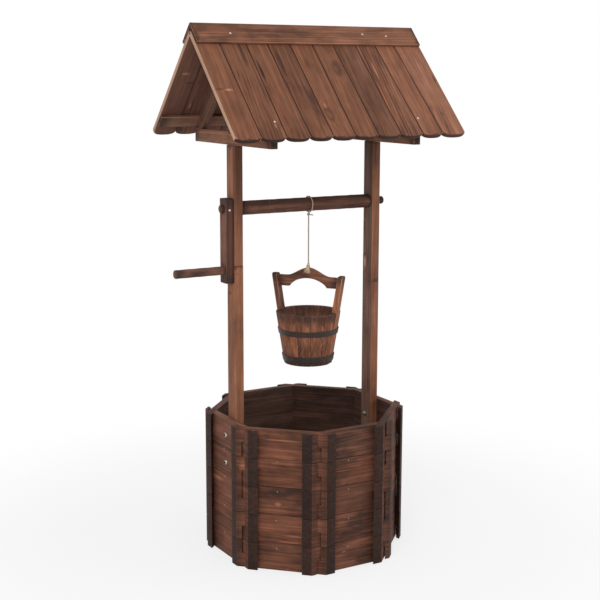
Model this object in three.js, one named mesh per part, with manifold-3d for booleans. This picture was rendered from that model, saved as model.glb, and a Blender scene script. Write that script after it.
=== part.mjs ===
import * as THREE from "three";
import * as BufferGeometryUtils from "three/addons/utils/BufferGeometryUtils.js";
import Module from "manifold-3d";

const wasm = await Module();
wasm.setup();

// Millimetres. X runs along the ridge, -Y is the front and +Z is up.
// Every piece is placed about the centre of the well on the ground.

// Clearances
const GAP = 0.3;
const CUT_OVERRUN = 4;

// Octagonal well of stacked planks whose crossed ends are half-lapped
const WELL_APOTHEM = 203;
const WALL_THICKNESS = 16;
const PLANK_HEIGHT = 63;
const PLANKS_PER_WALL = 5;
const TAIL_OVERHANG = 12;
const SLOT_CLEARANCE = 3.5;
const SEAM_DEPTH = 2;
const SEAM_HEIGHT = 1;

// Posts: two lengths each, half-lapped
const POST_WIDTH = 20;
const POST_DEPTH = 36;
const POST_LAP_BOTTOM = 594;
const POST_LAP_LENGTH = 64;
const AXLE_ABOVE_LAP = 123;
const POST_ABOVE_AXLE = 135.4;

// Bolts through wall and post
const BOLT_DEPTHS = { upper: 36, lower: 99 };
const BOLT_DIAMETER = 6;
const BOLT_HEAD_DIAMETER = 11;
const BOLT_HEAD_HEIGHT = 3;
const BOLT_HEAD_SHARES = [[0, 1], [0.5, 0.9], [0.85, 0.55], [1, 0]];
const NUT_WIDTH = 10;
const NUT_HEIGHT = 4.5;
const BOLT_END = 2;

// Roof frame
const ROOF_PITCH = THREE.MathUtils.degToRad(47.6);
const TIE_WIDTH = 17;
const TIE_HEIGHT = 28.3;
const TIE_HALF_LENGTH = 174;
const TIE_SETBACK = 1.5;
const RAFTER_DEPTH = 28.5;
const RAFTER_TOE = 1;
const BATTEN_THICKNESS = 8;
const BATTEN_WIDTH = 30;
const BATTEN_ABOVE_TIE = 4;
const BATTEN_END_SETBACK = 9;

// Roof planks and ridge caps
const ROOF_HALF_LENGTH = 287;
const ROOF_SEAM = 0.4;
const ROOF_PLANK_THICKNESS = 9;
const EAVE_OVERHANG = 30.5;
const PLANK_ROUNDING = 12;
const ROUNDING_POWER = 2.5;
const ROUNDING_STEPS = 12;
const CAP_END_SETBACK = 7.5;
const CAP_WIDTH = 46;
const CAP_THICKNESS = 6.5;
// Plank edges from the left end to the right one, as shares of half the roof's length. The front
// planks are nailed on slightly out of square, so their edges differ from ridge to eave.
const PLANK_EDGE_SHARES = {
  front: {
    ridge: [-0.983, -0.789, -0.573, -0.399, -0.202, -0.01, 0.172, 0.371, 0.552, 0.728, 0.977],
    eave: [-0.972, -0.763, -0.563, -0.366, -0.179, 0.009, 0.207, 0.409, 0.603, 0.787, 1],
  },
  back: {
    ridge: [-0.97, -0.785, -0.589, -0.393, -0.197, -0.001, 0.195, 0.391, 0.587, 0.783, 0.979],
    eave: [-0.97, -0.785, -0.589, -0.393, -0.197, -0.001, 0.195, 0.391, 0.587, 0.783, 0.979],
  },
};

// Windlass
const ROLLER_DIAMETER = 31;
const ROLLER_END_PLAY = 0.8;
const ROLLER_CHAMFER = 3;
const JOURNAL_DIAMETER = 17.5;
const BORE_CLEARANCE = 0.5;
const JOURNAL_TAIL = 19.3;
const JOURNAL_ROUNDING = 4;
const CRANK_JOURNAL_STUB = 7.5;
const CRANK_JOURNAL_CHAMFER = 1;
const CRANK_SIDE_PLAY = 0.5;
const CRANK_THICKNESS = 18;
const CRANK_WIDTH = 30;
const CRANK_BELOW_HANDLE = 27.5;
const CRANK_ABOVE_AXLE = 22.5;
const CRANK_CORNER = 2;
const HANDLE_RADIUS_OF_TURN = 133.5;
const HANDLE_DIAMETER = 19;
const HANDLE_LENGTH = 116.5;
const HANDLE_ROUNDING = 3;
const HANDLE_TENON_DIAMETER = 12;

// Bucket: round, tapered, hung from the arch board between its two long staves
const BUCKET_X = 8.5;
const BUCKET_TURN = THREE.MathUtils.degToRad(-52);
const BUCKET_HEIGHT = 117.5;
const BUCKET_TAPER_SHARE = 0.16;
const STAVE_BOTTOM_RADIUS = 54.4;
const STAVE_THICKNESS = 9;
const EAR_BOTTOM_REACH = 53.3;
const EAR_ABOVE_RIM = 84;
const EAR_WIDTH = 22;
const EAR_THICKNESS = 12;
const EAR_SEAT_THICKNESS = 5;
const EAR_TOP_ROUNDING = 6;
const BASE_THICKNESS = 8;
const BASE_RAISE = 8;
const GROOVE_DEPTH = 2;
const HOOP_THICKNESS = 1.8;
const HOOPS = {
  lower: { raise: 7, height: 14 },
  upper: { raise: 69, height: 12 },
};
const BOARD_THICKNESS = 10;
const BOARD_BELOW_EAR_TOP = 4;
const BOARD_END_HEIGHT = 25;
const BOARD_CREST_RISE = 19;
const BOARD_ARCH_RISE = 20;
const BOARD_ARCH_HALF_WIDTH = 45;
const BOARD_CREST_HALF_WIDTH = 54;
const TONGUE_LENGTH = 6;
const TONGUE_THICKNESS = 5;
const TONGUE_SHOULDER = 6;
const HITCH_HOLE_DIAMETER = 6;
const HITCH_HOLE_DEPTH = 11;
// Half of each curve of the board, from its end to the middle, as shares of width and height
const CREST_SHARES = [[1, 0], [0.8, 0.1], [0.6, 0.35], [0.4, 0.7], [0.2, 0.93], [0, 1]];
const ARCH_SHARES = [[1, 0], [0.92, 0.24], [0.76, 0.52], [0.54, 0.77], [0.28, 0.94], [0, 1]];

// Twine
const ROPE_DIAMETER = 3;
const ROPE_SIDES = 8;
const ROPE_STEP_SHARE = 2.5;
const LOOP_STEPS = 24;
const KNOT_DIAMETER = 8.4;
const KNOT_TAIL_LENGTH = 10;
const HITCH_KNOT_DIAMETER = 7;
const HITCH_ABOVE_BOARD = 11;
const DROP_LENGTH = 108.7;
const HITCH_SIDE_CLEARANCE = 0.7;

const BUCKET_SEGMENTS = 32;
const ROUND_SEGMENTS = 24;
const SMALL_SEGMENTS = 12;
const KNOT_RINGS = 6;

const wood = (color, roughness) => new THREE.MeshStandardMaterial({ color, roughness, metalness: 0 });
const roofWood = wood(0x86563f, 0.7);
const capWood = wood(0x7d5340, 0.7);
const frameWood = wood(0x5c4038, 0.75);
const postWood = wood(0x6f4736, 0.75);
const wellWood = wood(0x5e4036, 0.78);
const windlassWood = wood(0x684238, 0.72);
const bucketWood = wood(0x6a3f34, 0.72);
const twine = wood(0xb39b84, 0.95);
const hoopMetal = new THREE.MeshStandardMaterial({ color: 0x3d3330, roughness: 0.55, metalness: 0.6 });
const boltMetal = new THREE.MeshStandardMaterial({ color: 0xb9b5ae, roughness: 0.35, metalness: 1 });

// Geometry helpers

function polygon(radius, sides) {
  const points = [];
  for (let side = 0; side < sides; side++) {
    const angle = (Math.PI * 2 * side) / sides;
    points.push(new THREE.Vector2(radius * Math.cos(angle), radius * Math.sin(angle)));
  }
  return points;
}

// The outline may run either way round; holes run against it
function extrude(points, depth, holes = []) {
  const outline = points.map(([x, y]) => new THREE.Vector2(x, y));
  if (THREE.ShapeUtils.isClockWise(outline)) {
    outline.reverse();
  }
  const shape = new THREE.Shape(outline);
  for (const { x, y, radius } of holes) {
    const rim = polygon(radius, ROUND_SEGMENTS).map((point) => point.add(new THREE.Vector2(x, y)));
    shape.holes.push(new THREE.Path(rim.reverse()));
  }
  return new THREE.ExtrudeGeometry(shape, { depth, bevelEnabled: false });
}

// An outline seen from above, between two heights
function prism(points, bottom, top) {
  return extrude(points, top - bottom).translate(0, 0, bottom);
}

const ALONG_X = new THREE.Matrix4().makeBasis(
  new THREE.Vector3(0, 1, 0), new THREE.Vector3(0, 0, 1), new THREE.Vector3(1, 0, 0));
const ALONG_Y = new THREE.Matrix4().makeBasis(
  new THREE.Vector3(1, 0, 0), new THREE.Vector3(0, 0, 1), new THREE.Vector3(0, -1, 0));

// An outline in Y and Z, from x = start towards +X
function extrudeX(points, start, length, holes) {
  return extrude(points, length, holes).applyMatrix4(ALONG_X).translate(start, 0, 0);
}

// An outline in X and Z, centred on y = 0
function extrudeY(points, width, holes) {
  return extrude(points, width, holes).applyMatrix4(ALONG_Y).translate(0, width / 2, 0);
}

function rectangle(left, right, bottom, top) {
  return [[left, bottom], [right, bottom], [right, top], [left, top]];
}

// A turned shape about Z, from a profile of radius and height that runs upwards
function turned(profile, segments) {
  const points = profile.map(([radius, height]) => new THREE.Vector2(radius, height));
  return new THREE.LatheGeometry(points, segments).rotateX(Math.PI / 2);
}

function solid(geometry) {
  const bare = geometry.clone();
  bare.deleteAttribute("normal");
  bare.deleteAttribute("uv");
  const merged = BufferGeometryUtils.mergeVertices(bare);
  const vertProperties = new Float32Array(merged.attributes.position.array);
  const triVerts = new Uint32Array(merged.index.array);
  return new wasm.Manifold(new wasm.Mesh({ numProp: 3, vertProperties, triVerts }));
}

function geometryOf(body) {
  const { vertProperties, triVerts } = body.getMesh();
  const geometry = new THREE.BufferGeometry();
  geometry.setAttribute("position", new THREE.BufferAttribute(vertProperties, 3));
  geometry.setIndex(new THREE.BufferAttribute(triVerts, 1));
  geometry.computeVertexNormals();
  return geometry;
}

function addPiece(parent, name, geometry, material) {
  const mesh = new THREE.Mesh(geometry, material);
  mesh.name = name;
  parent.add(mesh);
  return mesh;
}

const wishingWell = new THREE.Group();
const well = new THREE.Group();
wishingWell.add(well);

// Well walls. Each is modelled as the front wall and turned into place.

const WALL_NAMES = ["front", "front_right", "right", "back_right", "back", "back_left", "left", "front_left"];
const WALL_TURN = (Math.PI * 2) / WALL_NAMES.length;
const WELL_HEIGHT = PLANK_HEIGHT * PLANKS_PER_WALL;
const WALL_INNER = WELL_APOTHEM - WALL_THICKNESS;
const TAIL_REACH = WELL_APOTHEM + TAIL_OVERHANG;
const POST_OUTER = WALL_INNER - GAP;
const POST_INNER = POST_OUTER - POST_WIDTH;
// Layers from the bottom up in which the two crossing planks change places
const LAP_REVERSED = [true, false, true, false, false];

// The place along a wall where its plane meets a neighbour's plane
function along(neighbourPlane, ownPlane) {
  return (neighbourPlane - ownPlane * Math.cos(WALL_TURN)) / Math.sin(WALL_TURN);
}

function wallOutline(inset) {
  const outer = WELL_APOTHEM - inset;
  const inner = WALL_INNER + inset;
  const reach = TAIL_REACH - inset;
  return [
    [-along(reach, outer), -outer],
    [along(reach, outer), -outer],
    [along(reach, inner), -inner],
    [-along(reach, inner), -inner],
  ];
}

function slotOutline(side) {
  const outer = WELL_APOTHEM + CUT_OVERRUN;
  const inner = WALL_INNER - CUT_OVERRUN;
  const near = WALL_INNER - GAP;
  const far = WELL_APOTHEM + SLOT_CLEARANCE;
  const points = [
    [along(near, outer), -outer],
    [along(far, outer), -outer],
    [along(far, inner), -inner],
    [along(near, inner), -inner],
  ];
  return points.map(([x, y]) => [side * x, y]);
}

function wallSolid(passesAbove) {
  let body = solid(prism(wallOutline(SEAM_DEPTH), SEAM_HEIGHT, WELL_HEIGHT - SEAM_HEIGHT));
  for (let layer = 0; layer < PLANKS_PER_WALL; layer++) {
    const bottom = layer === 0 ? 0 : layer * PLANK_HEIGHT + SEAM_HEIGHT / 2;
    const isTop = layer === PLANKS_PER_WALL - 1;
    const top = isTop ? WELL_HEIGHT : (layer + 1) * PLANK_HEIGHT - SEAM_HEIGHT / 2;
    body = body.add(solid(prism(wallOutline(0), bottom, top)));
  }
  for (let layer = 0; layer < PLANKS_PER_WALL; layer++) {
    const slotAbove = LAP_REVERSED[layer] ? passesAbove : !passesAbove;
    const bottom = (layer + (slotAbove ? 1 / 2 : 0)) * PLANK_HEIGHT;
    for (const side of [-1, 1]) {
      const cutter = prism(slotOutline(side), bottom - GAP / 2, bottom + PLANK_HEIGHT / 2 + GAP / 2);
      body = body.subtract(solid(cutter));
    }
  }
  return body;
}

function wallBores() {
  const radius = BOLT_DIAMETER / 2 + GAP;
  return Object.values(BOLT_DEPTHS).map((depth) => {
    const length = WALL_THICKNESS + 2 * CUT_OVERRUN;
    const bore = new THREE.CylinderGeometry(radius, radius, length, SMALL_SEGMENTS);
    return solid(bore.translate(0, -(WELL_APOTHEM + WALL_INNER) / 2, WELL_HEIGHT - depth));
  });
}

WALL_NAMES.forEach((name, index) => {
  let body = wallSolid(index % 2 === 1);
  if (name === "left" || name === "right") {
    for (const bore of wallBores()) {
      body = body.subtract(bore);
    }
  }
  const wall = addPiece(well, `wall_${name}`, geometryOf(body), wellWood);
  wall.rotation.z = index * WALL_TURN;
});

// Posts. Each is modelled as the right post; the left post is the same turned half round.

const POST_LAP_TOP = POST_LAP_BOTTOM + POST_LAP_LENGTH;
const AXLE_HEIGHT = POST_LAP_TOP + AXLE_ABOVE_LAP;
const POST_TOP = AXLE_HEIGHT + POST_ABOVE_AXLE;

function post(side) {
  const group = new THREE.Group();
  group.rotation.z = side === "right" ? 0 : Math.PI;
  const front = -POST_DEPTH / 2;
  const back = POST_DEPTH / 2;
  const boltHoles = Object.values(BOLT_DEPTHS).map((depth) => ({
    x: 0, y: WELL_HEIGHT - depth, radius: BOLT_DIAMETER / 2 + GAP,
  }));
  const axleHole = { x: 0, y: AXLE_HEIGHT, radius: JOURNAL_DIAMETER / 2 + BORE_CLEARANCE };
  const lower = [
    [front, 0], [back, 0], [back, POST_LAP_TOP], [GAP / 2, POST_LAP_TOP],
    [GAP / 2, POST_LAP_BOTTOM], [front, POST_LAP_BOTTOM],
  ];
  const upper = [
    [front, POST_LAP_BOTTOM + GAP], [-GAP / 2, POST_LAP_BOTTOM + GAP], [-GAP / 2, POST_LAP_TOP + GAP],
    [back, POST_LAP_TOP + GAP], [back, POST_TOP], [front, POST_TOP],
  ];
  addPiece(group, `post_${side}_lower`, extrudeX(lower, POST_INNER, POST_WIDTH, boltHoles), postWood);
  addPiece(group, `post_${side}_upper`, extrudeX(upper, POST_INNER, POST_WIDTH, [axleHole]), postWood);
  return group;
}

well.add(post("left"), post("right"));

// Bolts. Modelled upright with the head below, then laid along X with the head outside.

function boltSolid() {
  const shankStart = BOLT_HEAD_HEIGHT;
  const nutStart = shankStart + GAP + WALL_THICKNESS + GAP + POST_WIDTH + GAP;
  const end = nutStart + NUT_HEIGHT + BOLT_END;
  const radius = BOLT_DIAMETER / 2;
  const head = BOLT_HEAD_SHARES.map(([width, height]) => [
    width * (BOLT_HEAD_DIAMETER / 2), (1 - height) * BOLT_HEAD_HEIGHT,
  ]);
  const profile = [...head, [radius, shankStart], [radius, end], [0, end]];
  const nutRadius = NUT_WIDTH / 2 / Math.cos(Math.PI / 6);
  const nut = new THREE.CylinderGeometry(nutRadius, nutRadius, NUT_HEIGHT, 6).rotateX(Math.PI / 2);
  nut.translate(0, 0, nutStart + NUT_HEIGHT / 2);
  return solid(turned(profile, SMALL_SEGMENTS)).add(solid(nut));
}

const boltGeometry = geometryOf(boltSolid());
for (const [level, depth] of Object.entries(BOLT_DEPTHS)) {
  for (const [side, sign] of [["left", -1], ["right", 1]]) {
    const bolt = addPiece(well, `bolt_${side}_${level}`, boltGeometry, boltMetal);
    bolt.rotation.y = -sign * (Math.PI / 2);
    bolt.position.set(sign * (WELL_APOTHEM + GAP + BOLT_HEAD_HEIGHT), 0, WELL_HEIGHT - depth);
  }
}

// Tie beams on the post tops

const TIE_BOTTOM = POST_TOP + GAP;
const TIE_TOP = TIE_BOTTOM + TIE_HEIGHT;
const TIE_OUTER = POST_OUTER - TIE_SETBACK;
const TIE_INNER = TIE_OUTER - TIE_WIDTH;

for (const [side, sign] of [["left", -1], ["right", 1]]) {
  const outline = rectangle(-TIE_HALF_LENGTH, TIE_HALF_LENGTH, TIE_BOTTOM, TIE_TOP);
  const start = sign < 0 ? -TIE_OUTER : TIE_INNER;
  addPiece(well, `tie_beam_${side}`, extrudeX(outline, start, TIE_WIDTH), frameWood);
}

// Roof slopes. Y runs down the slope from the ridge line and Z out of the top surface.

const SIN = Math.sin(ROOF_PITCH);
const COS = Math.cos(ROOF_PITCH);
const ROOF_REACH = TIE_HALF_LENGTH + EAVE_OVERHANG;
const FRAME_TOP_DEPTH = ROOF_PLANK_THICKNESS + GAP;
const RAFTER_BOTTOM_DEPTH = FRAME_TOP_DEPTH + RAFTER_DEPTH;
const BATTEN_DEPTH = FRAME_TOP_DEPTH + BATTEN_THICKNESS;
const NOTCH_DEPTH = BATTEN_DEPTH + GAP;
const RAFTER_FOOT = TIE_TOP + GAP;
const ROOF_APEX = RAFTER_FOOT + ((TIE_HALF_LENGTH - RAFTER_TOE) * SIN + NOTCH_DEPTH) / COS;

// Where a line at a depth below the top surface meets an upright plane, or a level one
const atReach = (reach, depth) => (reach + depth * SIN) / COS;
const atHeight = (height, depth) => (ROOF_APEX - depth * COS - height) / SIN;

const BATTEN_LOWER = atHeight(TIE_TOP + BATTEN_ABOVE_TIE, BATTEN_DEPTH);
const BATTEN_UPPER = BATTEN_LOWER - BATTEN_WIDTH;

// A rafter stands on the tie beam, and the batten lies in a notch that is open at its foot
const rafterOutline = [
  [atReach(GAP / 2, FRAME_TOP_DEPTH), -FRAME_TOP_DEPTH],
  [BATTEN_UPPER - GAP, -FRAME_TOP_DEPTH],
  [BATTEN_UPPER - GAP, -NOTCH_DEPTH],
  [atHeight(RAFTER_FOOT, NOTCH_DEPTH), -NOTCH_DEPTH],
  [atHeight(RAFTER_FOOT, RAFTER_BOTTOM_DEPTH), -RAFTER_BOTTOM_DEPTH],
  [atReach(GAP / 2, RAFTER_BOTTOM_DEPTH), -RAFTER_BOTTOM_DEPTH],
];

const capOutline = [
  [atReach(GAP / 2, -GAP), GAP],
  [atReach(GAP / 2, -(GAP + CAP_THICKNESS)), GAP + CAP_THICKNESS],
  [CAP_WIDTH, GAP + CAP_THICKNESS],
  [CAP_WIDTH, GAP],
];

// A roof plank seen square on, from its two edges at the ridge and at the eave, with a rounded lower end
function roofPlankOutline(ridge, eave) {
  const upper = atReach(GAP / 2, ROOF_PLANK_THICKNESS);
  const lower = atReach(ROOF_REACH, 0);
  const middle = (eave[0] + eave[1]) / 2;
  const half = (eave[1] - eave[0]) / 2;
  const points = [[ridge[1], upper]];
  for (let step = 0; step <= ROUNDING_STEPS; step++) {
    const angle = (Math.PI * step) / ROUNDING_STEPS;
    const across = Math.abs(Math.cos(angle)) ** (2 / ROUNDING_POWER) * Math.sign(Math.cos(angle));
    const down = Math.abs(Math.sin(angle)) ** (2 / ROUNDING_POWER);
    points.push([middle + across * half, lower - (1 - down) * PLANK_ROUNDING]);
  }
  points.push([ridge[0], upper]);
  return points;
}

// The edges of one plank of a slope, half a seam inside the shares' places
function plankEdges(shares, index, facing) {
  const left = shares[index] * ROOF_HALF_LENGTH + ROOF_SEAM / 2;
  const right = shares[index + 1] * ROOF_HALF_LENGTH - ROOF_SEAM / 2;
  return [facing * left, facing * right].sort((a, b) => a - b);
}

// Facing is 1 for the back slope and -1 for the front one, which is turned half round
function slope(name, facing) {
  const turnedGroup = new THREE.Group();
  turnedGroup.rotation.z = facing > 0 ? 0 : Math.PI;
  turnedGroup.position.z = ROOF_APEX;
  const group = new THREE.Group();
  group.rotation.x = -ROOF_PITCH;
  turnedGroup.add(group);

  const { ridge, eave } = PLANK_EDGE_SHARES[name];
  for (let index = 0; index < ridge.length - 1; index++) {
    const outline = roofPlankOutline(plankEdges(ridge, index, facing), plankEdges(eave, index, facing));
    const number = String(index + 1).padStart(2, "0");
    const plank = addPiece(
      group, `roof_${name}_plank_${number}`, extrude(outline, ROOF_PLANK_THICKNESS), roofWood);
    plank.position.z = -ROOF_PLANK_THICKNESS;
  }
  const capHalfLength = ROOF_HALF_LENGTH - CAP_END_SETBACK;
  const cap = extrudeX(capOutline, -capHalfLength, 2 * capHalfLength);
  addPiece(group, `ridge_cap_${name}`, cap, capWood);
  const battenOutline = rectangle(BATTEN_UPPER, BATTEN_LOWER, -BATTEN_DEPTH, -FRAME_TOP_DEPTH);
  const battenHalfLength = ROOF_HALF_LENGTH - BATTEN_END_SETBACK;
  const batten = extrudeX(battenOutline, -battenHalfLength, 2 * battenHalfLength);
  addPiece(group, `eave_batten_${name}`, batten, frameWood);
  for (const [side, sign] of [["left", -1], ["right", 1]]) {
    const start = sign * facing < 0 ? -TIE_OUTER : TIE_INNER;
    addPiece(group, `rafter_${name}_${side}`, extrudeX(rafterOutline, start, TIE_WIDTH), frameWood);
  }
  return turnedGroup;
}

well.add(slope("back", 1), slope("front", -1));

// Windlass, turned about X

const CRANK_INNER = POST_OUTER + CRANK_SIDE_PLAY;
const CRANK_OUTER = CRANK_INNER + CRANK_THICKNESS;
const ROLLER_HALF_LENGTH = POST_INNER - ROLLER_END_PLAY;

function rollerProfile() {
  const radius = ROLLER_DIAMETER / 2;
  const journal = JOURNAL_DIAMETER / 2;
  const left = -CRANK_OUTER - CRANK_JOURNAL_STUB;
  const right = POST_OUTER + JOURNAL_TAIL;
  const shoulder = radius - ROLLER_CHAMFER;
  return [
    [0, left],
    [journal - CRANK_JOURNAL_CHAMFER, left],
    [journal, left + CRANK_JOURNAL_CHAMFER],
    [journal, -ROLLER_HALF_LENGTH],
    [shoulder, -ROLLER_HALF_LENGTH],
    [radius, -ROLLER_HALF_LENGTH + ROLLER_CHAMFER],
    [radius, ROLLER_HALF_LENGTH - ROLLER_CHAMFER],
    [shoulder, ROLLER_HALF_LENGTH],
    [journal, ROLLER_HALF_LENGTH],
    ...roundedEnd(journal, right, JOURNAL_ROUNDING),
  ];
}

// The profile of a turned end whose edge is rounded, up to the axis
function roundedEnd(radius, end, rounding) {
  const points = [];
  for (let step = 0; step <= KNOT_RINGS / 2; step++) {
    const angle = (Math.PI * step) / KNOT_RINGS;
    const inset = (1 - Math.cos(angle)) * rounding;
    points.push([radius - inset, end - (1 - Math.sin(angle)) * rounding]);
  }
  points.push([0, end]);
  return points;
}

const windlass = new THREE.Group();
windlass.position.z = AXLE_HEIGHT;
well.add(windlass);

const roller = turned(rollerProfile(), ROUND_SEGMENTS).rotateY(Math.PI / 2);
addPiece(windlass, "windlass_roller", roller, windlassWood);

const CRANK_BELOW_AXLE = HANDLE_RADIUS_OF_TURN + CRANK_BELOW_HANDLE;
const tenonRadius = HANDLE_TENON_DIAMETER / 2;
const crankHalf = CRANK_WIDTH / 2;
const crankOutline = [
  [-crankHalf + CRANK_CORNER, -CRANK_BELOW_AXLE],
  [crankHalf - CRANK_CORNER, -CRANK_BELOW_AXLE],
  [crankHalf, -CRANK_BELOW_AXLE + CRANK_CORNER],
  [crankHalf, CRANK_ABOVE_AXLE - CRANK_CORNER],
  [crankHalf - CRANK_CORNER, CRANK_ABOVE_AXLE],
  [-crankHalf + CRANK_CORNER, CRANK_ABOVE_AXLE],
  [-crankHalf, CRANK_ABOVE_AXLE - CRANK_CORNER],
  [-crankHalf, -CRANK_BELOW_AXLE + CRANK_CORNER],
];
const crankHoles = [
  { x: 0, y: 0, radius: JOURNAL_DIAMETER / 2 + GAP },
  { x: 0, y: -HANDLE_RADIUS_OF_TURN, radius: tenonRadius + GAP },
];
const crankArm = extrudeX(crankOutline, -CRANK_OUTER, CRANK_THICKNESS, crankHoles);
addPiece(windlass, "crank_arm", crankArm, windlassWood);

// The handle's turned profile starts at the arm's inner face and runs outwards
const handleStart = CRANK_THICKNESS + GAP;
const handleProfile = [
  [0, 0],
  [tenonRadius, 0],
  [tenonRadius, handleStart],
  [HANDLE_DIAMETER / 2, handleStart],
  ...roundedEnd(HANDLE_DIAMETER / 2, CRANK_THICKNESS + HANDLE_LENGTH, HANDLE_ROUNDING),
];
const handle = turned(handleProfile, ROUND_SEGMENTS).rotateY(-Math.PI / 2);
handle.translate(-CRANK_INNER, 0, -HANDLE_RADIUS_OF_TURN);
addPiece(windlass, "crank_handle", handle, windlassWood);

// Twine: a loop round the roller, the hanging drop with its knot, and the hitch through the board

const ropeRadius = ROPE_DIAMETER / 2;
const loopRadius = ROLLER_DIAMETER / 2 + GAP + ropeRadius;
const ring = new THREE.TorusGeometry(loopRadius, ropeRadius, ROPE_SIDES, LOOP_STEPS);
const ropeLoop = addPiece(windlass, "rope_loop", ring.rotateY(Math.PI / 2), twine);
ropeLoop.position.x = BUCKET_X;

function ropeTube(path) {
  const section = new THREE.Shape(polygon(ropeRadius, ROPE_SIDES));
  const steps = Math.max(1, Math.ceil(path.getLength() / (ROPE_STEP_SHARE * ROPE_DIAMETER)));
  return new THREE.ExtrudeGeometry(section, { extrudePath: path, steps, bevelEnabled: false });
}

const knotRadius = KNOT_DIAMETER / 2;
const knotHeight = AXLE_HEIGHT - loopRadius - ropeRadius - GAP - knotRadius;
const hitchTop = knotHeight - DROP_LENGTH;
const knotCentre = new THREE.Vector3(0, 0, knotHeight);
const knotTailEnd = new THREE.Vector3(KNOT_TAIL_LENGTH, 0, knotHeight - ropeRadius);
const knot = new THREE.SphereGeometry(knotRadius, SMALL_SEGMENTS, KNOT_RINGS);
const dropSolid = solid(knot.translate(0, 0, knotHeight))
  .add(solid(ropeTube(new THREE.LineCurve3(knotCentre, knotTailEnd))))
  .add(solid(ropeTube(new THREE.LineCurve3(knotCentre, new THREE.Vector3(0, 0, hitchTop + GAP)))));
const ropeDrop = addPiece(well, "rope_drop", geometryOf(dropSolid), twine);
ropeDrop.position.x = BUCKET_X;

// Bucket. Heights in its group are measured from its bottom.

const EAR_TOP = BUCKET_HEIGHT + EAR_ABOVE_RIM;
const BOARD_SHOULDER = EAR_TOP - BOARD_BELOW_EAR_TOP;
const BOARD_PEAK = BOARD_SHOULDER + BOARD_CREST_RISE;
const BOARD_UNDERSIDE = BOARD_SHOULDER - BOARD_END_HEIGHT;
const HITCH_HOLE_HEIGHT = BOARD_PEAK - HITCH_HOLE_DEPTH;
const HITCH_HEIGHT = BOARD_PEAK + HITCH_ABOVE_BOARD;

const bucket = new THREE.Group();
bucket.position.set(BUCKET_X, 0, hitchTop - HITCH_HEIGHT);
bucket.rotation.z = BUCKET_TURN;
well.add(bucket);

const hitchKnotRadius = HITCH_KNOT_DIAMETER / 2;
const hitchKnotHeight = HITCH_HEIGHT - hitchKnotRadius;
const hitchReach = BOARD_THICKNESS / 2 + HITCH_SIDE_CLEARANCE + ropeRadius;
const hitchPoints = [
  [0, hitchKnotHeight],
  [hitchReach, BOARD_PEAK],
  [hitchReach, HITCH_HOLE_HEIGHT + ropeRadius],
  [BOARD_THICKNESS / 2, HITCH_HOLE_HEIGHT],
  [-BOARD_THICKNESS / 2, HITCH_HOLE_HEIGHT],
  [-hitchReach, HITCH_HOLE_HEIGHT + ropeRadius],
  [-hitchReach, BOARD_PEAK],
  [0, hitchKnotHeight],
].map(([y, z]) => new THREE.Vector3(0, y, z));

// Straight lengths of twine, each joined to the next by a round bend
const hitchKnot = new THREE.SphereGeometry(hitchKnotRadius, SMALL_SEGMENTS, KNOT_RINGS);
let hitchSolid = solid(hitchKnot.translate(0, 0, hitchKnotHeight));
for (let index = 1; index < hitchPoints.length; index++) {
  const start = hitchPoints[index - 1];
  const end = hitchPoints[index];
  hitchSolid = hitchSolid.add(solid(ropeTube(new THREE.LineCurve3(start, end))));
  const bend = new THREE.SphereGeometry(ropeRadius, ROPE_SIDES, ROPE_SIDES / 2);
  hitchSolid = hitchSolid.add(solid(bend.translate(end.x, end.y, end.z)));
}
addPiece(bucket, "rope_hitch", geometryOf(hitchSolid), twine);

const staveRadius = (height) => STAVE_BOTTOM_RADIUS + BUCKET_TAPER_SHARE * height;
const staveInside = (height) => staveRadius(height) - STAVE_THICKNESS;
const earReach = (height) => EAR_BOTTOM_REACH + BUCKET_TAPER_SHARE * height;
const earInside = (height) => earReach(height) - EAR_THICKNESS;

// A line that leans with the taper, as points at two heights
function leaning(reach, from, to, offset) {
  return [from, to].map((height) => [reach(height) + offset, height]);
}

const baseTop = BASE_RAISE + BASE_THICKNESS;
const staveProfile = [
  ...leaning(staveRadius, 0, BUCKET_HEIGHT, 0),
  ...leaning(staveInside, BUCKET_HEIGHT, baseTop + GAP, 0),
  ...leaning(staveInside, baseTop + GAP, BASE_RAISE - GAP, GROOVE_DEPTH),
  ...leaning(staveInside, BASE_RAISE - GAP, 0, 0),
];
staveProfile.push(staveProfile[0]);

const seatHalf = EAR_WIDTH / 2 + GAP;
let staves = solid(turned(staveProfile, BUCKET_SEGMENTS));
for (const side of [-1, 1]) {
  const inner = -EAR_SEAT_THICKNESS - GAP;
  const [cutBottom, cutTop] = [-CUT_OVERRUN, BUCKET_HEIGHT + CUT_OVERRUN];
  const outline = [
    ...leaning(earReach, cutBottom, cutTop, inner),
    ...leaning(earReach, cutTop, cutBottom, inner + STAVE_THICKNESS),
  ];
  const points = outline.map(([x, z]) => [side * x, z]);
  staves = staves.subtract(solid(extrudeY(points, 2 * seatHalf)));
}
addPiece(bucket, "bucket_staves", geometryOf(staves), bucketWood);

const baseProfile = [
  [0, BASE_RAISE],
  ...leaning(staveInside, BASE_RAISE, baseTop, GROOVE_DEPTH - GAP),
  [0, baseTop],
];
addPiece(bucket, "bucket_base", turned(baseProfile, BUCKET_SEGMENTS), bucketWood);

for (const [name, { raise, height }] of Object.entries(HOOPS)) {
  const profile = [
    ...leaning(staveRadius, raise, raise + height, GAP + HOOP_THICKNESS),
    ...leaning(staveRadius, raise + height, raise, GAP),
  ];
  profile.push(profile[0]);
  addPiece(bucket, `bucket_hoop_${name}`, turned(profile, BUCKET_SEGMENTS), hoopMetal);
}

const tongueBottom = BOARD_UNDERSIDE + TONGUE_SHOULDER;
const tongueTop = BOARD_SHOULDER - TONGUE_SHOULDER;
const tongueReach = earInside(tongueBottom) + TONGUE_LENGTH;

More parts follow.
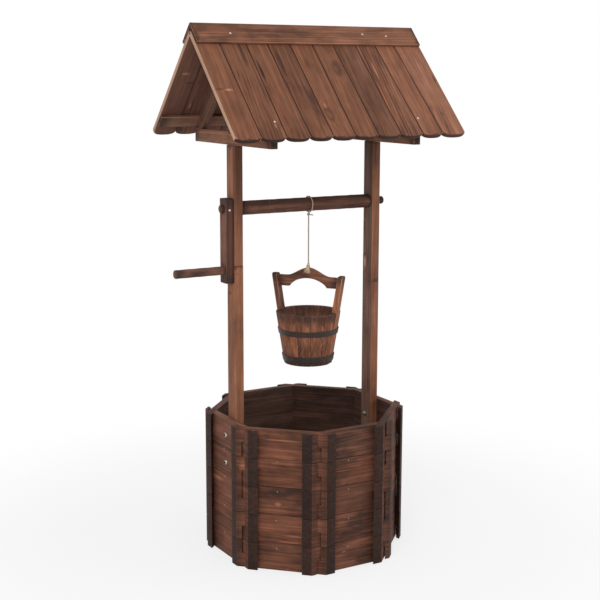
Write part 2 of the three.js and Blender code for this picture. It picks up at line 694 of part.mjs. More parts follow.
function earSolid() {
  const shoulder = BUCKET_HEIGHT + GAP;
  const side = [
    ...leaning(earReach, 0, EAR_TOP, 0),
    ...leaning(earInside, EAR_TOP, shoulder, 0),
    ...leaning(earReach, shoulder, 0, -EAR_SEAT_THICKNESS),
  ];
  const half = EAR_WIDTH / 2;
  const crown = [];
  for (let step = 0; step <= KNOT_RINGS; step++) {
    const angle = (Math.PI * step) / KNOT_RINGS;
    const centre = Math.sign(Math.cos(angle)) * (half - EAR_TOP_ROUNDING);
    const drop = (1 - Math.sin(angle)) * EAR_TOP_ROUNDING;
    crown.push([centre + Math.cos(angle) * EAR_TOP_ROUNDING, EAR_TOP - drop]);
  }
  const face = [[-half, -CUT_OVERRUN], [half, -CUT_OVERRUN], ...crown];
  const facePrism = extrudeX(face, 0, 2 * earReach(EAR_TOP));
  const tongueHole = rectangle(
    earInside(tongueBottom) - CUT_OVERRUN, tongueReach + GAP, tongueBottom - GAP, tongueTop + GAP);
  return solid(extrudeY(side, EAR_WIDTH))
    .intersect(solid(facePrism))
    .subtract(solid(extrudeY(tongueHole, TONGUE_THICKNESS + 2 * GAP)));
}

const earGeometry = geometryOf(earSolid());
for (const [side, turn] of [["left", Math.PI], ["right", 0]]) {
  const ear = addPiece(bucket, `bucket_ear_${side}`, earGeometry, bucketWood);
  ear.rotation.z = turn;
}

// Half of the arch board's outline, from the middle of its crest round to the middle of its arch
function boardSolid() {
  const crest = CREST_SHARES.map(([width, height]) => [
    width * BOARD_CREST_HALF_WIDTH, BOARD_SHOULDER + height * BOARD_CREST_RISE,
  ]).reverse();
  const arch = ARCH_SHARES.map(([width, height]) => [
    width * BOARD_ARCH_HALF_WIDTH, BOARD_UNDERSIDE + height * BOARD_ARCH_RISE,
  ]);
  const end = leaning(earInside, BOARD_SHOULDER, BOARD_UNDERSIDE, -GAP);
  const right = [...crest, ...end, ...arch];
  const left = right.map(([x, z]) => [-x, z]).slice(1, -1).reverse();
  const hole = { x: 0, y: HITCH_HOLE_HEIGHT, radius: HITCH_HOLE_DIAMETER / 2 };
  const board = solid(extrudeY([...right, ...left], BOARD_THICKNESS, [hole]));
  const tongueRoot = earInside(BOARD_UNDERSIDE) - TONGUE_LENGTH;
  const tongues = [-1, 1].map((sign) => {
    const [inner, outer] = [tongueRoot * sign, tongueReach * sign].sort((a, b) => a - b);
    const outline = rectangle(inner, outer, tongueBottom, tongueTop);
    return solid(extrudeY(outline, TONGUE_THICKNESS));
  });
  return board.add(tongues[0]).add(tongues[1]);
}

addPiece(bucket, "bucket_arch_board", geometryOf(boardSolid()), bucketWood);

// The handle reaches further left than the roof reaches right, so the well stands off the middle
const leftReach = CRANK_OUTER + HANDLE_LENGTH;
const rightReach = ROOF_HALF_LENGTH - ROOF_SEAM / 2;
well.position.x = (leftReach - rightReach) / 2;

export default wishingWell;
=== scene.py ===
import math
import random
from contextlib import contextmanager

import bpy
import numpy as np
from mathutils import Matrix, Vector


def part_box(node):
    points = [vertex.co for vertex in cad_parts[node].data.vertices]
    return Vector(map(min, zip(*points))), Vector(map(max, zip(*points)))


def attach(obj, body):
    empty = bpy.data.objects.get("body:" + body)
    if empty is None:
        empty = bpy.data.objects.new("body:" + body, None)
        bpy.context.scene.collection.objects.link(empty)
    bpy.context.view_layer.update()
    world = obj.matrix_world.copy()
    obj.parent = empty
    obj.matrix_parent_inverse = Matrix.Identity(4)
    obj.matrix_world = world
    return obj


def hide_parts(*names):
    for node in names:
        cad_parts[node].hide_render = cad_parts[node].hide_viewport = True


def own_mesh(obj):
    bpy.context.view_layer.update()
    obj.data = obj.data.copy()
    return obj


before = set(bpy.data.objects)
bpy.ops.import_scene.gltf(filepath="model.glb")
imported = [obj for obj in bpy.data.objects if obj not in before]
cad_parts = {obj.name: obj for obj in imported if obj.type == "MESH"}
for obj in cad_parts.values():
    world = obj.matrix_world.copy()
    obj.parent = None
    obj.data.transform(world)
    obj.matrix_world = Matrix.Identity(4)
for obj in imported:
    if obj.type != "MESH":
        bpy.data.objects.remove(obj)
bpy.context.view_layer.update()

X, Y, Z = Vector((1, 0, 0)), Vector((0, 1, 0)), Vector((0, 0, 1))


def level(angle):
    """A level direction, as an angle from +X."""
    return Vector((math.cos(angle), math.sin(angle), 0))


def middle(node):
    low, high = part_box(node)
    return (low + high) / 2


# Metres. The well stands off the middle of the frame because the crank handle reaches out to the left.
WELL_X = middle("wall_front").x
ROPE_X = middle("rope_loop").x
AXLE_Z = middle("windlass_roller").z
ROOF_PITCH = math.radians(47.6)
BUCKET_TURN = math.radians(-52)
CAMERA_FROM_WELL = (-1.4334, -2.4141, 1.0731)
CAMERA_TURN_DEG, CAMERA_TILT_DEG, CAMERA_ROLL_DEG = -30.7, 79.73, 0.2
CAMERA_LENS_MM = 75.91


def new_object(name, data):
    item = bpy.data.objects.new(name, data)
    bpy.context.scene.collection.objects.link(item)
    return item


# Camera and light

def place_camera():
    data = bpy.data.cameras.new("photo_view")
    data.lens = CAMERA_LENS_MM
    data.sensor_width = 36
    data.shift_x = -0.0084
    camera = new_object("photo_view", data)
    turn, tilt, roll = (Matrix.Rotation(math.radians(angle), 4, axis) for angle, axis in (
        (CAMERA_TURN_DEG, "Z"), (CAMERA_TILT_DEG, "X"), (CAMERA_ROLL_DEG, "Z")))
    place = Matrix.Translation(X * WELL_X + Vector(CAMERA_FROM_WELL))
    camera.matrix_world = place @ turn @ tilt @ roll
    bpy.context.scene.camera = camera


def area_light(name, place, target, size, power):
    data = bpy.data.lights.new(name, "AREA")
    data.shape = "DISK"
    data.size = size
    data.energy = power
    lamp = new_object(name, data)
    lamp.location = place
    lamp.rotation_euler = (Vector(target) - Vector(place)).to_track_quat("-Z", "Y").to_euler()


# Shader building

class Socket:
    """A shader socket. Arithmetic on it adds Math nodes."""

    def __init__(self, finish, link):
        self.finish = finish
        self.link = link

    def math(self, operation, *others):
        values = dict(enumerate((self, *others)))
        return self.finish.node("Math", values, {"operation": operation})

    def __add__(self, other):
        return self.math("ADD", other)

    def __sub__(self, other):
        return self.math("SUBTRACT", other)

    def __rsub__(self, other):
        return self.finish.node("Math", {0: other, 1: self}, {"operation": "SUBTRACT"})

    def __mul__(self, other):
        return self.math("MULTIPLY", other)

    def __truediv__(self, other):
        return self.math("DIVIDE", other)

    __radd__ = __add__
    __rmul__ = __mul__

    def step(self, low, high):
        """0 below low and 1 above high, with a smooth rise between them."""
        inputs = {"Value": self, "From Min": low, "From Max": high}
        return self.finish.node("MapRange", inputs, {"interpolation_type": "SMOOTHSTEP"})


class Finish:
    """A material, or the world, whose nodes are added one by one."""

    def __init__(self, name, kind="materials"):
        self.material = getattr(bpy.data, kind).new(name)
        self.material.use_nodes = True
        self.tree = self.material.node_tree
        self.tree.nodes.clear()

    def node(self, kind, inputs=None, settings=None, output=0):
        node = self.tree.nodes.new("ShaderNode" + kind)
        for key, value in (settings or {}).items():
            if key == "stops":
                self.set_stops(node.color_ramp, value)
            else:
                setattr(node, key, value)
        for key, value in (inputs or {}).items():
            if isinstance(value, Socket):
                self.tree.links.new(value.link, node.inputs[key])
            else:
                node.inputs[key].default_value = value
        return Socket(self, node.outputs[output]) if len(node.outputs) else None

    def set_stops(self, ramp, stops):
        while len(ramp.elements) < len(stops):
            ramp.elements.new(0.5)
        for element, (place, value) in zip(ramp.elements, stops):
            element.position = place
            element.color = (value, value, value, 1)

    def attribute(self, name):
        vector = self.node("Attribute", None, {"attribute_name": name}, "Vector")
        return [self.node("SeparateXYZ", {0: vector}, output=axis) for axis in "XYZ"]

    def vector(self, x, y, z):
        return self.node("CombineXYZ", {0: x, 1: y, 2: z})

    def noise(self, vector, scale, detail, roughness=0.5):
        inputs = {"Vector": vector, "Scale": scale, "Detail": detail, "Roughness": roughness}
        return self.node("TexNoise", inputs)

    def mix(self, factor, first, second, blend="MIX"):
        """A colour mix. Colours are given as three numbers or as sockets."""
        first, second = ((*c, 1) if isinstance(c, tuple) else c for c in (first, second))
        inputs = {0: factor, 6: first, 7: second}
        return self.node("Mix", inputs, {"data_type": "RGBA", "blend_type": blend}, 2)

    def surface(self, color, roughness, height, bump, distance, metallic=0, specular=0.5):
        normal = self.node("Bump", {"Strength": bump, "Distance": distance, "Height": height})
        inputs = {"Base Color": color, "Roughness": roughness, "Metallic": metallic,
                  "Specular IOR Level": specular, "Normal": normal}
        self.node("OutputMaterial", {"Surface": self.node("BsdfPrincipled", inputs)})
        return self.material


def linear(*screen):
    """A colour written in screen values from 0 to 255, as linear light."""
    return tuple(((c / 255 + 0.055) / 1.055) ** 2.4 if c > 10 else c / 255 / 12.92 for c in screen)


# Wood. Point attributes carry each board's own grain:
# grain is the place within the board along, across and through it,
# board is its seed and half length, stain its tone, scorch and warmth, the tone holding painted shade on the
# roller as well,
# figure the strength of its lines,
# knot where a point stands from the board's knot, along and across in knot radii, and the radius,
# mark the same for a long scorch mark and scar for a pale place, a scraped place on most boards and a painted
# highlight on the right lower post, each with its strength.

HUE_SWING = 0.8


def span(x, y):
    return (x * x + y * y).math("SQRT")


def wood(name, early, late, burnt, ring=0.004, lines=0.8, scorch=0.5, end=0.02, contrast=0.7):
    f = Finish(name)
    along, across, depth = f.attribute("grain")
    seed, half_length, _ = f.attribute("board")
    tone, burn, warmth = f.attribute("stain")
    knot_x, knot_y, knot_radius = f.attribute("knot")
    mark_x, mark_y, mark_strength = f.attribute("mark")
    scar_x, scar_y, scar_strength = f.attribute("scar")
    line_strength, _, _ = f.attribute("figure")

    shift = f.vector(seed * 7.3, seed * 3.7, seed * 5.1)

    def field(x, y, detail, roughness=0.5):
        place = f.vector(along * x, across * y, depth * y)
        moved = f.node("VectorMath", {0: place, 1: shift}, {"operation": "ADD"})
        return f.noise(moved, 1, detail, roughness)

    sway = field(5, 22, 2)
    patch = field(9, 20, 3, 0.6)
    streak = field(4, 150, 4, 0.7).step(0.32, 0.68)
    fibre = field(16, 480, 3, 0.65)
    blotch = field(30, 60, 2)

    # The grain flows round the knot
    from_knot = span(knot_x, knot_y)
    pull = (from_knot * from_knot * -0.22).math("EXPONENT")
    uneven = from_knot + (blotch - 0.5) * 1.3
    rim = uneven.step(0.1, 0.75) * (1 - uneven.step(0.8, 1.6))
    core = rim * 0.55 + (1 - from_knot.step(0.15, 0.5)) * 0.25

    # Growth rings about a pith that lies outside the board and leans along it
    pith_y = across + (seed * 12.99).math("SINE") * 0.03
    pith_z = depth + 0.018 + (seed * 78.2).math("SINE") * 0.012
    radius = span(pith_y, pith_z)
    lean = along * ((seed * 39.4).math("SINE") * 0.035)
    phase = (radius + lean + (sway - 0.5) * 0.022 + pull * knot_radius * 1.1) / ring
    ring_line = f.node("ValToRGB", {"Fac": phase.math("FRACT")},
                       {"stops": [(0, 0.1), (0.4, 0.05), (0.78, 0.75), (0.9, 1), (1, 0.1)]})
    line = ring_line * patch.step(0.25, 0.75) * line_strength * lines

    # Scorched ends and patches, and dark knots
    distance_to_end = half_length - along.math("ABSOLUTE")
    ends = 1 - (distance_to_end + (blotch - 0.5) * 0.02).step(end * 0.3, end * 1.6)
    patches = (patch + burn * 0.5).step(0.62, 0.95) * scorch
    from_mark = span(mark_x, mark_y) + (patch - 0.5) * 1.2 - (streak - 0.5) * 0.5
    mark = (1 - from_mark.step(0.3, 1.25)) * mark_strength
    from_scar = span(scar_x, scar_y) + (fibre - 0.5) * 1.1
    scar = (1 - from_scar.step(0.2, 1.1)) * scar_strength
    dark = patches.math("MAXIMUM", ends * 0.75).math("MAXIMUM", core * 0.85).math("MAXIMUM", mark)

    color = f.mix(line, early, late)
    color = f.mix((fibre - 0.5) * 1.3 + 0.2, color, late)
    color = f.mix(blotch.step(0.35, 0.8) * 0.28, color, late)
    color = f.mix(dark, color, burnt)
    color = f.mix(scar * 0.95, color, tuple(c * 2.0 + 0.03 for c in early))
    hue = f.mix(warmth + (sway - 0.5) * HUE_SWING, (0.92, 1.0, 1.06), (1.08, 0.97, 0.82))
    color = f.mix(1.0, color, hue, "MULTIPLY")
    pale_streak = (0.5 - streak).math("MAXIMUM", 0) * fibre
    swell = (line_strength * 0.5 + 0.5) * contrast
    shade = tone * (1 + (streak - 0.5 + pale_streak) * swell)
    shade = f.vector(shade, shade, shade)
    color = f.mix(1.0, color, shade, "MULTIPLY")
    roughness = 0.62 + fibre * 0.2 - line * 0.1
    height = fibre * 0.5 + line * 0.35 - core * 0.3
    return f.surface(color, roughness, height, 0.35, 0.0006, specular=0.2)


FACE, EDGE, END_GRAIN, SHADED_SIDE, FLANK, SEAM = range(6)


def wood_set(name, early, late, burnt, edge, seam, inner=None, flank=None, **grain):
    """Finishes for the faces, the rounded edges, the end grain, the side turned inwards or away from the
    light, the flanks and the edges at the seams between boards. Colours given for that side are darker, as
    painted shade. Colours are in screen values."""
    early, late, burnt, edge, seam = (linear(*color) for color in (early, late, burnt, edge, seam))
    inner, flank = ([linear(*color) for color in pair] if pair else (early, late) for pair in (inner, flank))
    ends = {**grain, "end": 0.001, "lines": 0.9, "scorch": 0.9}
    edges = {**grain, "end": 0.001, "scorch": 0.35}
    dark = tuple(c * 0.55 for c in late)
    return [
        wood(name, early, late, burnt, **grain),
        wood(name + "_edge", edge, early, late, **edges),
        wood(name + "_end_grain", dark, burnt, burnt, **ends),
        wood(name + "_inner_side", *inner, burnt, **grain),
        wood(name + "_flank", *flank, burnt, **grain),
        wood(name + "_seam", seam, burnt, burnt, **edges),
    ]


# Where a set gives its own colours for the side turned away from the light, they are painted shade: the roof
# boards' undersides, the posts' inner faces, the inside of the well and the front of the crank arm.
ROOF = wood_set("stained_roof_boards", (138, 91, 68), (80, 47, 34), (54, 35, 30), (196, 160, 136),
                (60, 37, 29), ((112, 75, 60), (78, 49, 39)), ((200, 164, 140), (158, 118, 96)), scorch=0.4,
                ring=0.0075, end=0.003)
CAP = wood_set("stained_ridge_boards", (142, 96, 74), (82, 50, 39), (50, 31, 27), (164, 118, 92),
               (60, 38, 30), scorch=0.6, ring=0.006, end=0.008)
FRAME = wood_set("dark_roof_frame", (118, 84, 67), (76, 51, 41), (38, 26, 25), (118, 84, 68), (50, 34, 28),
                 scorch=0.6)
POST = wood_set("scorched_posts", (146, 98, 73), (92, 56, 42), (72, 42, 32), (156, 110, 84), (70, 46, 36),
                ((124, 94, 82), (82, 58, 50)), scorch=0.6, end=0.006)
WELL = wood_set("scorched_well_planks", (122, 76, 57), (64, 39, 30), (46, 30, 25), (128, 88, 71),
                (40, 26, 22), ((82, 56, 46), (52, 35, 29)), scorch=0.85, end=0.028, ring=0.006, contrast=0.9)
WINDLASS = wood_set("dark_windlass", (124, 84, 68), (74, 47, 39), (38, 27, 27), (132, 98, 82), (46, 32, 28),
                    ((78, 50, 41), (52, 34, 28)), scorch=0.7)
BUCKET = wood_set("scorched_bucket", (146, 95, 70), (78, 48, 39), (44, 32, 30), (144, 104, 84), (50, 34, 30),
                  scorch=0.6, ring=0.003, contrast=0.9)


def twine_finish(name, pale, deep):
    """Jute: pale on the crests of its strands and deeper in the grooves, the deeper colour there being
    painted shade between the strands. The attribute lay is the length along the twine, how far a point stands
    on a crest, and a seed."""
    f, pale, deep = Finish(name), linear(*pale), linear(*deep)
    length, crest, seed = f.attribute("lay")
    place = f.vector(length * 900, crest * 3, seed * 40)
    fibre = f.noise(place, 1, 3, 0.6)
    patch = f.noise(f.vector(length * 60, seed * 9, 0.0), 1, 2)
    # Painted shade: the grooves between the strands are coloured deeper than the crests.
    color = f.mix(crest.step(0.0, 0.9), deep, pale)
    color = f.mix((fibre - 0.5) * 0.9 + 0.2, color, deep)
    color = f.mix(patch.step(0.3, 0.8) * 0.35, color, tuple(c * 1.15 for c in pale))
    return f.surface(color, 0.86 + fibre * 0.1, fibre, 0.5, 0.0003, specular=0.15)


def hoop_finish():
    f = Finish("dull_dark_hoops")
    place = f.node("TexCoord", output="Object")
    grain = f.noise(place, 260, 4, 0.6)
    patch = f.noise(place, 38, 3, 0.6)
    rust = (patch + (grain - 0.5) * 0.5).step(0.5, 0.72)
    color = f.mix(grain, linear(44, 38, 36), linear(70, 60, 56))
    color = f.mix(rust * 0.55, color, linear(92, 58, 44))
    return f.surface(color, 0.42 + rust * 0.35 + grain * 0.1, grain, 0.25, 0.0004, 0.7 - rust * 0.5)


def steel_finish(name, pale, deep, rough):
    f, pale, deep = Finish(name), linear(*pale), linear(*deep)
    place = f.node("TexCoord", output="Object")
    grain = f.noise(place, 900, 3, 0.6)
    patch = f.noise(place, 160, 3, 0.6)
    tarnish = patch.step(0.45, 0.75)
    color = f.mix(grain, pale, tuple(c * 0.8 for c in pale))
    color = f.mix(tarnish * 0.6, color, deep)
    return f.surface(color, rough + tarnish * 0.3 + grain * 0.08, grain, 0.2, 0.0002, 0.9 - tarnish * 0.3)


# Pieces

def smooth_shade(piece, degrees):
    select_only(piece)
    bpy.ops.object.shade_smooth_by_angle(angle=math.radians(degrees))
    return piece


def select_only(piece):
    bpy.ops.object.select_all(action="DESELECT")
    piece.select_set(True)
    bpy.context.view_layer.objects.active = piece


def apply_modifier(piece, kind, **settings):
    select_only(piece)
    modifier = piece.modifiers.new(kind.lower(), kind)
    for key, value in settings.items():
        setattr(modifier, key, value)
    bpy.ops.object.modifier_apply(modifier=modifier.name)


@contextmanager
def editing(piece, select="VERT"):
    """Edit mode with the whole piece selected."""
    select_only(piece)
    bpy.ops.object.mode_set(mode="EDIT")
    bpy.ops.mesh.select_mode(type=select)
    bpy.ops.mesh.select_all(action="SELECT")
    yield
    bpy.ops.object.mode_set(mode="OBJECT")


def copy_of(node, name):
    """A CAD node's shape as a new mesh with its triangles merged into flat faces."""
    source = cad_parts[node]
    piece = new_object(name, source.data.copy())
    piece.data.transform(source.matrix_world)
    with editing(piece):
        bpy.ops.mesh.remove_doubles(threshold=0.00001)
        bpy.ops.mesh.dissolve_limited(angle_limit=math.radians(1))
    return piece


def set_finishes(piece, finishes):
    piece.data.materials.clear()
    for finish in finishes:
        piece.data.materials.append(finish)


def set_vectors(mesh, name, values):
    attribute = mesh.attributes.get(name) or mesh.attributes.new(name, "FLOAT_VECTOR", "POINT")
    attribute.data.foreach_set("vector", np.asarray(values, dtype=np.float32).ravel())


# A point's place from a knot, mark or scar where the board has none
FAR_OFF = (50, 50, 0)
# How squarely a face has to look one way to count as the board's end, flank or shaded side
FACING = 0.6
KNOT_STRETCH = 1.7


def finish_board(piece, woods, along, across, seed, bevel=0.0012, tone=1.0, burn=0.5, warmth=0.5,
                 lines=1.0, knot=None, mark=None, scar=None, inner=None, flank=None, seams=(),
                 ends=END_GRAIN):
    """Rounds a board's edges, gives its faces their finishes and writes its grain. A knot is its place
    along and across and its radius, a mark or scar its place, its two reaches and its strength."""
    along, across = Vector(along).normalized(), Vector(across).normalized()
    through = along.cross(across)
    set_finishes(piece, woods)
    mesh = piece.data
    for polygon in mesh.polygons:
        if abs(polygon.normal.dot(along)) > FACING:
            polygon.material_index = ends
        # Faces on the side turned away from the light take that side's finish, which carries painted shade
        # where the set gives it darker colours.
        elif inner and polygon.normal.dot(inner) > FACING:
            polygon.material_index = SHADED_SIDE
        elif flank and abs(polygon.normal.dot(flank)) > FACING:
            polygon.material_index = FLANK
        else:
            polygon.material_index = FACE
    if bevel:
        apply_modifier(piece, "BEVEL", width=bevel, segments=2, limit_method="ANGLE",
                       angle_limit=math.radians(35), material=EDGE, harden_normals=False)
        mesh = piece.data
        for polygon in mesh.polygons:
            if polygon.material_index == EDGE and any(polygon.normal.dot(seam) > 0.25 for seam in seams):
                polygon.material_index = SEAM
    points = np.array([v.co for v in mesh.vertices], float)
    axes = np.array([along, across, through], float)
    local = points @ axes.T
    low, high = local.min(0), local.max(0)
    local -= (low + high) / 2
    half_length = (high[0] - low[0]) / 2
    count = len(points)

    def away(place):
        if place is None:
            return [FAR_OFF] * count
        x, y, reach_x, reach_y, strength = place
        return [((p[0] - x) / reach_x, (p[1] - y) / reach_y, strength) for p in local]

    knot = knot and (knot[0], knot[1], knot[2] * KNOT_STRETCH, knot[2], knot[2])
    for name, values in {"grain": local, "board": [(seed, half_length, 0)] * count,
                         "stain": [(tone, burn, warmth)] * count, "figure": [(lines, 0, 0)] * count,
                         "knot": away(knot), "mark": away(mark), "scar": away(scar)}.items():
        set_vectors(mesh, name, values)
    return smooth_shade(piece, 32)


def join(pieces, name):
    bpy.ops.object.select_all(action="DESELECT")
    for piece in pieces:
        piece.select_set(True)
    bpy.context.view_layer.objects.active = pieces[0]
    bpy.ops.object.join()
    pieces[0].name = name
    pieces[0].data.name = name
    return pieces[0]


def cut(piece, place, normal):
    """Cuts away what lies behind a plane and closes the piece there."""
    with editing(piece):
        bpy.ops.mesh.bisect(plane_co=place, plane_no=normal, use_fill=True, clear_inner=True)


def from_outline(name, points, edges=(), faces=()):
    mesh = bpy.data.meshes.new(name)
    mesh.from_pydata([tuple(point) for point in points], edges, faces)
    return new_object(name, mesh)


def turned_piece(name, profile, steps):
    """A profile of radius and height spun about Z. A profile that starts off the axis closes on itself."""
    count = len(profile)
    closed = profile[0][0] > 0
    edges = [(index, (index + 1) % count) for index in range(count if closed else count - 1)]
    piece = from_outline(name, [(radius, 0, height) for radius, height in profile], edges)
    with editing(piece):
        bpy.ops.mesh.spin(steps=steps, angle=math.tau, center=(0, 0, 0), axis=(0, 0, 1))
        bpy.ops.mesh.select_all(action="SELECT")
        bpy.ops.mesh.remove_doubles(threshold=0.000005)
        bpy.ops.mesh.normals_make_consistent(inside=False)
    return piece


def arc(radius, centre, start, end, steps):
    """Points of an arc in a profile, with its angles in degrees."""
    angles = (math.radians(start + (end - start) * step / steps) for step in range(steps + 1))
    return [(centre[0] + radius * math.cos(a), centre[1] + radius * math.sin(a)) for a in angles]


def aimed(toward, place):
    """The matrix that turns an upright piece so that its top points another way and puts it in place."""
    return Matrix.Translation(place) @ Z.rotation_difference(Vector(toward)).to_matrix().to_4x4()


def lay_down(piece, toward, place):
    piece.data.transform(aimed(toward, place))
    return piece


def cylinder(sides, radius, depth, place=(0, 0, 0), turn=(0, 0, 0)):
    bpy.ops.mesh.primitive_cylinder_add(vertices=sides, radius=radius, depth=depth, location=place,
                                        rotation=turn)
    return bpy.context.active_object


def bore(piece, drill):
    apply_modifier(piece, "BOOLEAN", operation="DIFFERENCE", object=drill, solver="EXACT")
    bpy.data.objects.remove(drill)


def copy_shape(piece, name, matrix):
    """Another piece of the same shape with its own mesh."""
    twin = new_object(name, piece.data.copy())
    twin.data.transform(matrix)
    return twin


def metal_piece(piece, finish):
    set_finishes(piece, [finish])
    return smooth_shade(piece, 35)


def show(piece, body, slot, *nodes):
    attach(piece, body)
    if nodes:
        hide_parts(*nodes)
    return piece


# Twine: the drop is the free cord, and the loop, the knot and the hitch are its ends

TWINE_RADIUS = 0.0015
TWINE_SIDES = 18
TWINE_STRANDS = 3
TWINE_TWISTS_PER_METRE = 105
TWINE_STEP = 0.0007
TIGHT_RADIUS = 0.0012
DROP_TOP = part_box("rope_drop")[1].z
DROP_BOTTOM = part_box("rope_drop")[0].z
KNOT_Z = DROP_TOP - 0.0042
HITCH_KNOT_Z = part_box("rope_hitch")[1].z - 0.0035
TAIL_FIBRES, TUFT_FIBRES, STRAY_FIBRES = 14, 150, 60


def on_drop(height):
    """A point on the line that the twine hangs in."""
    return Vector((ROPE_X, 0, height))


def even_points(points, step):
    """Points a fixed step apart along a polyline."""
    points = np.array([tuple(point) for point in points], float)
    reach = np.concatenate([[0], np.cumsum(np.linalg.norm(np.diff(points, axis=0), axis=1))])
    places = np.linspace(0, reach[-1], max(3, int(round(reach[-1] / step)) + 1))
    return np.stack([np.interp(places, reach, points[:, axis]) for axis in range(3)], 1)


def tube_faces(sides, rings, first=0, closed=False):
    """The faces of a tube, from the number of its first point."""
    faces = []
    for index in range(rings if closed else rings - 1):
        ring, following = first + index * sides, first + (index + 1) % rings * sides
        for corner in range(sides):
            after = (corner + 1) % sides
            faces.append((ring + corner, ring + after, following + after, following + corner))
    if not closed:
        faces.append(tuple(reversed(range(first, first + sides))))
        faces.append(tuple(range(first + (rings - 1) * sides, first + rings * sides)))
    return faces


def twine_skin(name, vertices, faces, lay, finish):
    piece = from_outline(name, vertices, faces=faces)
    set_vectors(piece.data, "lay", lay)
    piece.data.materials.append(finish)
    return piece


def twine(name, points, finish, radius=TWINE_RADIUS, closed=False, seed=0.0):
    """A twisted three-strand twine along a line, as one skin with its lay in the attribute."""
    line = even_points(points, TWINE_STEP)
    if closed:
        line = line[:-1]
        ahead = np.roll(line, -1, 0) - np.roll(line, 1, 0)
    else:
        ahead = np.gradient(line, axis=0)
    count = len(line)
    ahead /= np.linalg.norm(ahead, axis=1)[:, None]
    side = np.cross(ahead[0], (0.3, 0.2, 0.9))
    vertices, lay = [], []
    turns = count * TWINE_STEP * TWINE_TWISTS_PER_METRE
    turns = round(turns) if closed else turns
    for index in range(count):
        side = side - ahead[index] * side.dot(ahead[index])
        side /= np.linalg.norm(side)
        other = np.cross(ahead[index], side)
        for corner in range(TWINE_SIDES):
            angle = math.tau * corner / TWINE_SIDES
            crest = abs(math.cos((angle - math.tau * turns * index / count) * TWINE_STRANDS / 2))
            reach = radius * (0.74 + 0.26 * math.sqrt(crest))
            vertices.append(line[index] + reach * (math.cos(angle) * side + math.sin(angle) * other))
            lay.append((index * TWINE_STEP, crest, seed))
    return twine_skin(name, vertices, tube_faces(TWINE_SIDES, count, closed=closed), lay, finish)


def hairs(name, roots, rng, thickness, finish, segments=3):
    """Loose fibres. Each starts at a root and runs along its own direction, with a slight curl."""
    vertices, faces, lay = [], [], []
    for root, direction, length in roots:
        root, heading = Vector(root), Vector(direction).normalized()
        side = heading.orthogonal().normalized()
        other = heading.cross(side)
        bend = side * rng.uniform(-0.5, 0.5) + other * rng.uniform(-0.5, 0.5)
        first = len(vertices)
        seed = rng.random()
        for index in range(segments + 1):
            share = index / segments
            centre = root + (heading * share + bend * share * share * 0.5) * length
            radius = thickness * (1 - 0.6 * share)
            for corner in range(3):
                angle = math.tau * corner / 3
                vertices.append(centre + (side * math.cos(angle) + other * math.sin(angle)) * radius)
                lay.append((length * share, 0.4 + 0.6 * seed, seed))
        faces += tube_faces(3, segments + 1, first)
    return twine_skin(name, vertices, faces, lay, finish)


def knot_line(centre, size, turn=0.0):
    """An overhand knot's closed line."""
    points = []
    for step in range(73):
        t = math.tau * step / 72
        point = Vector((math.sin(t) + 2 * math.sin(2 * t), -math.sin(3 * t) * 1.1,
                        math.cos(t) - 2 * math.cos(2 * t)))
        points.append(Vector(centre) + Matrix.Rotation(turn, 3, "Z") @ (point * size))
    return points


def stray(rng, place, spread, length):
    """A root for one loose fibre on a stretch of twine that hangs down."""
    out = level(rng.uniform(0, math.tau))
    return Vector(place) + out * TWINE_RADIUS * 0.7, out + Z * rng.uniform(-spread, spread), length


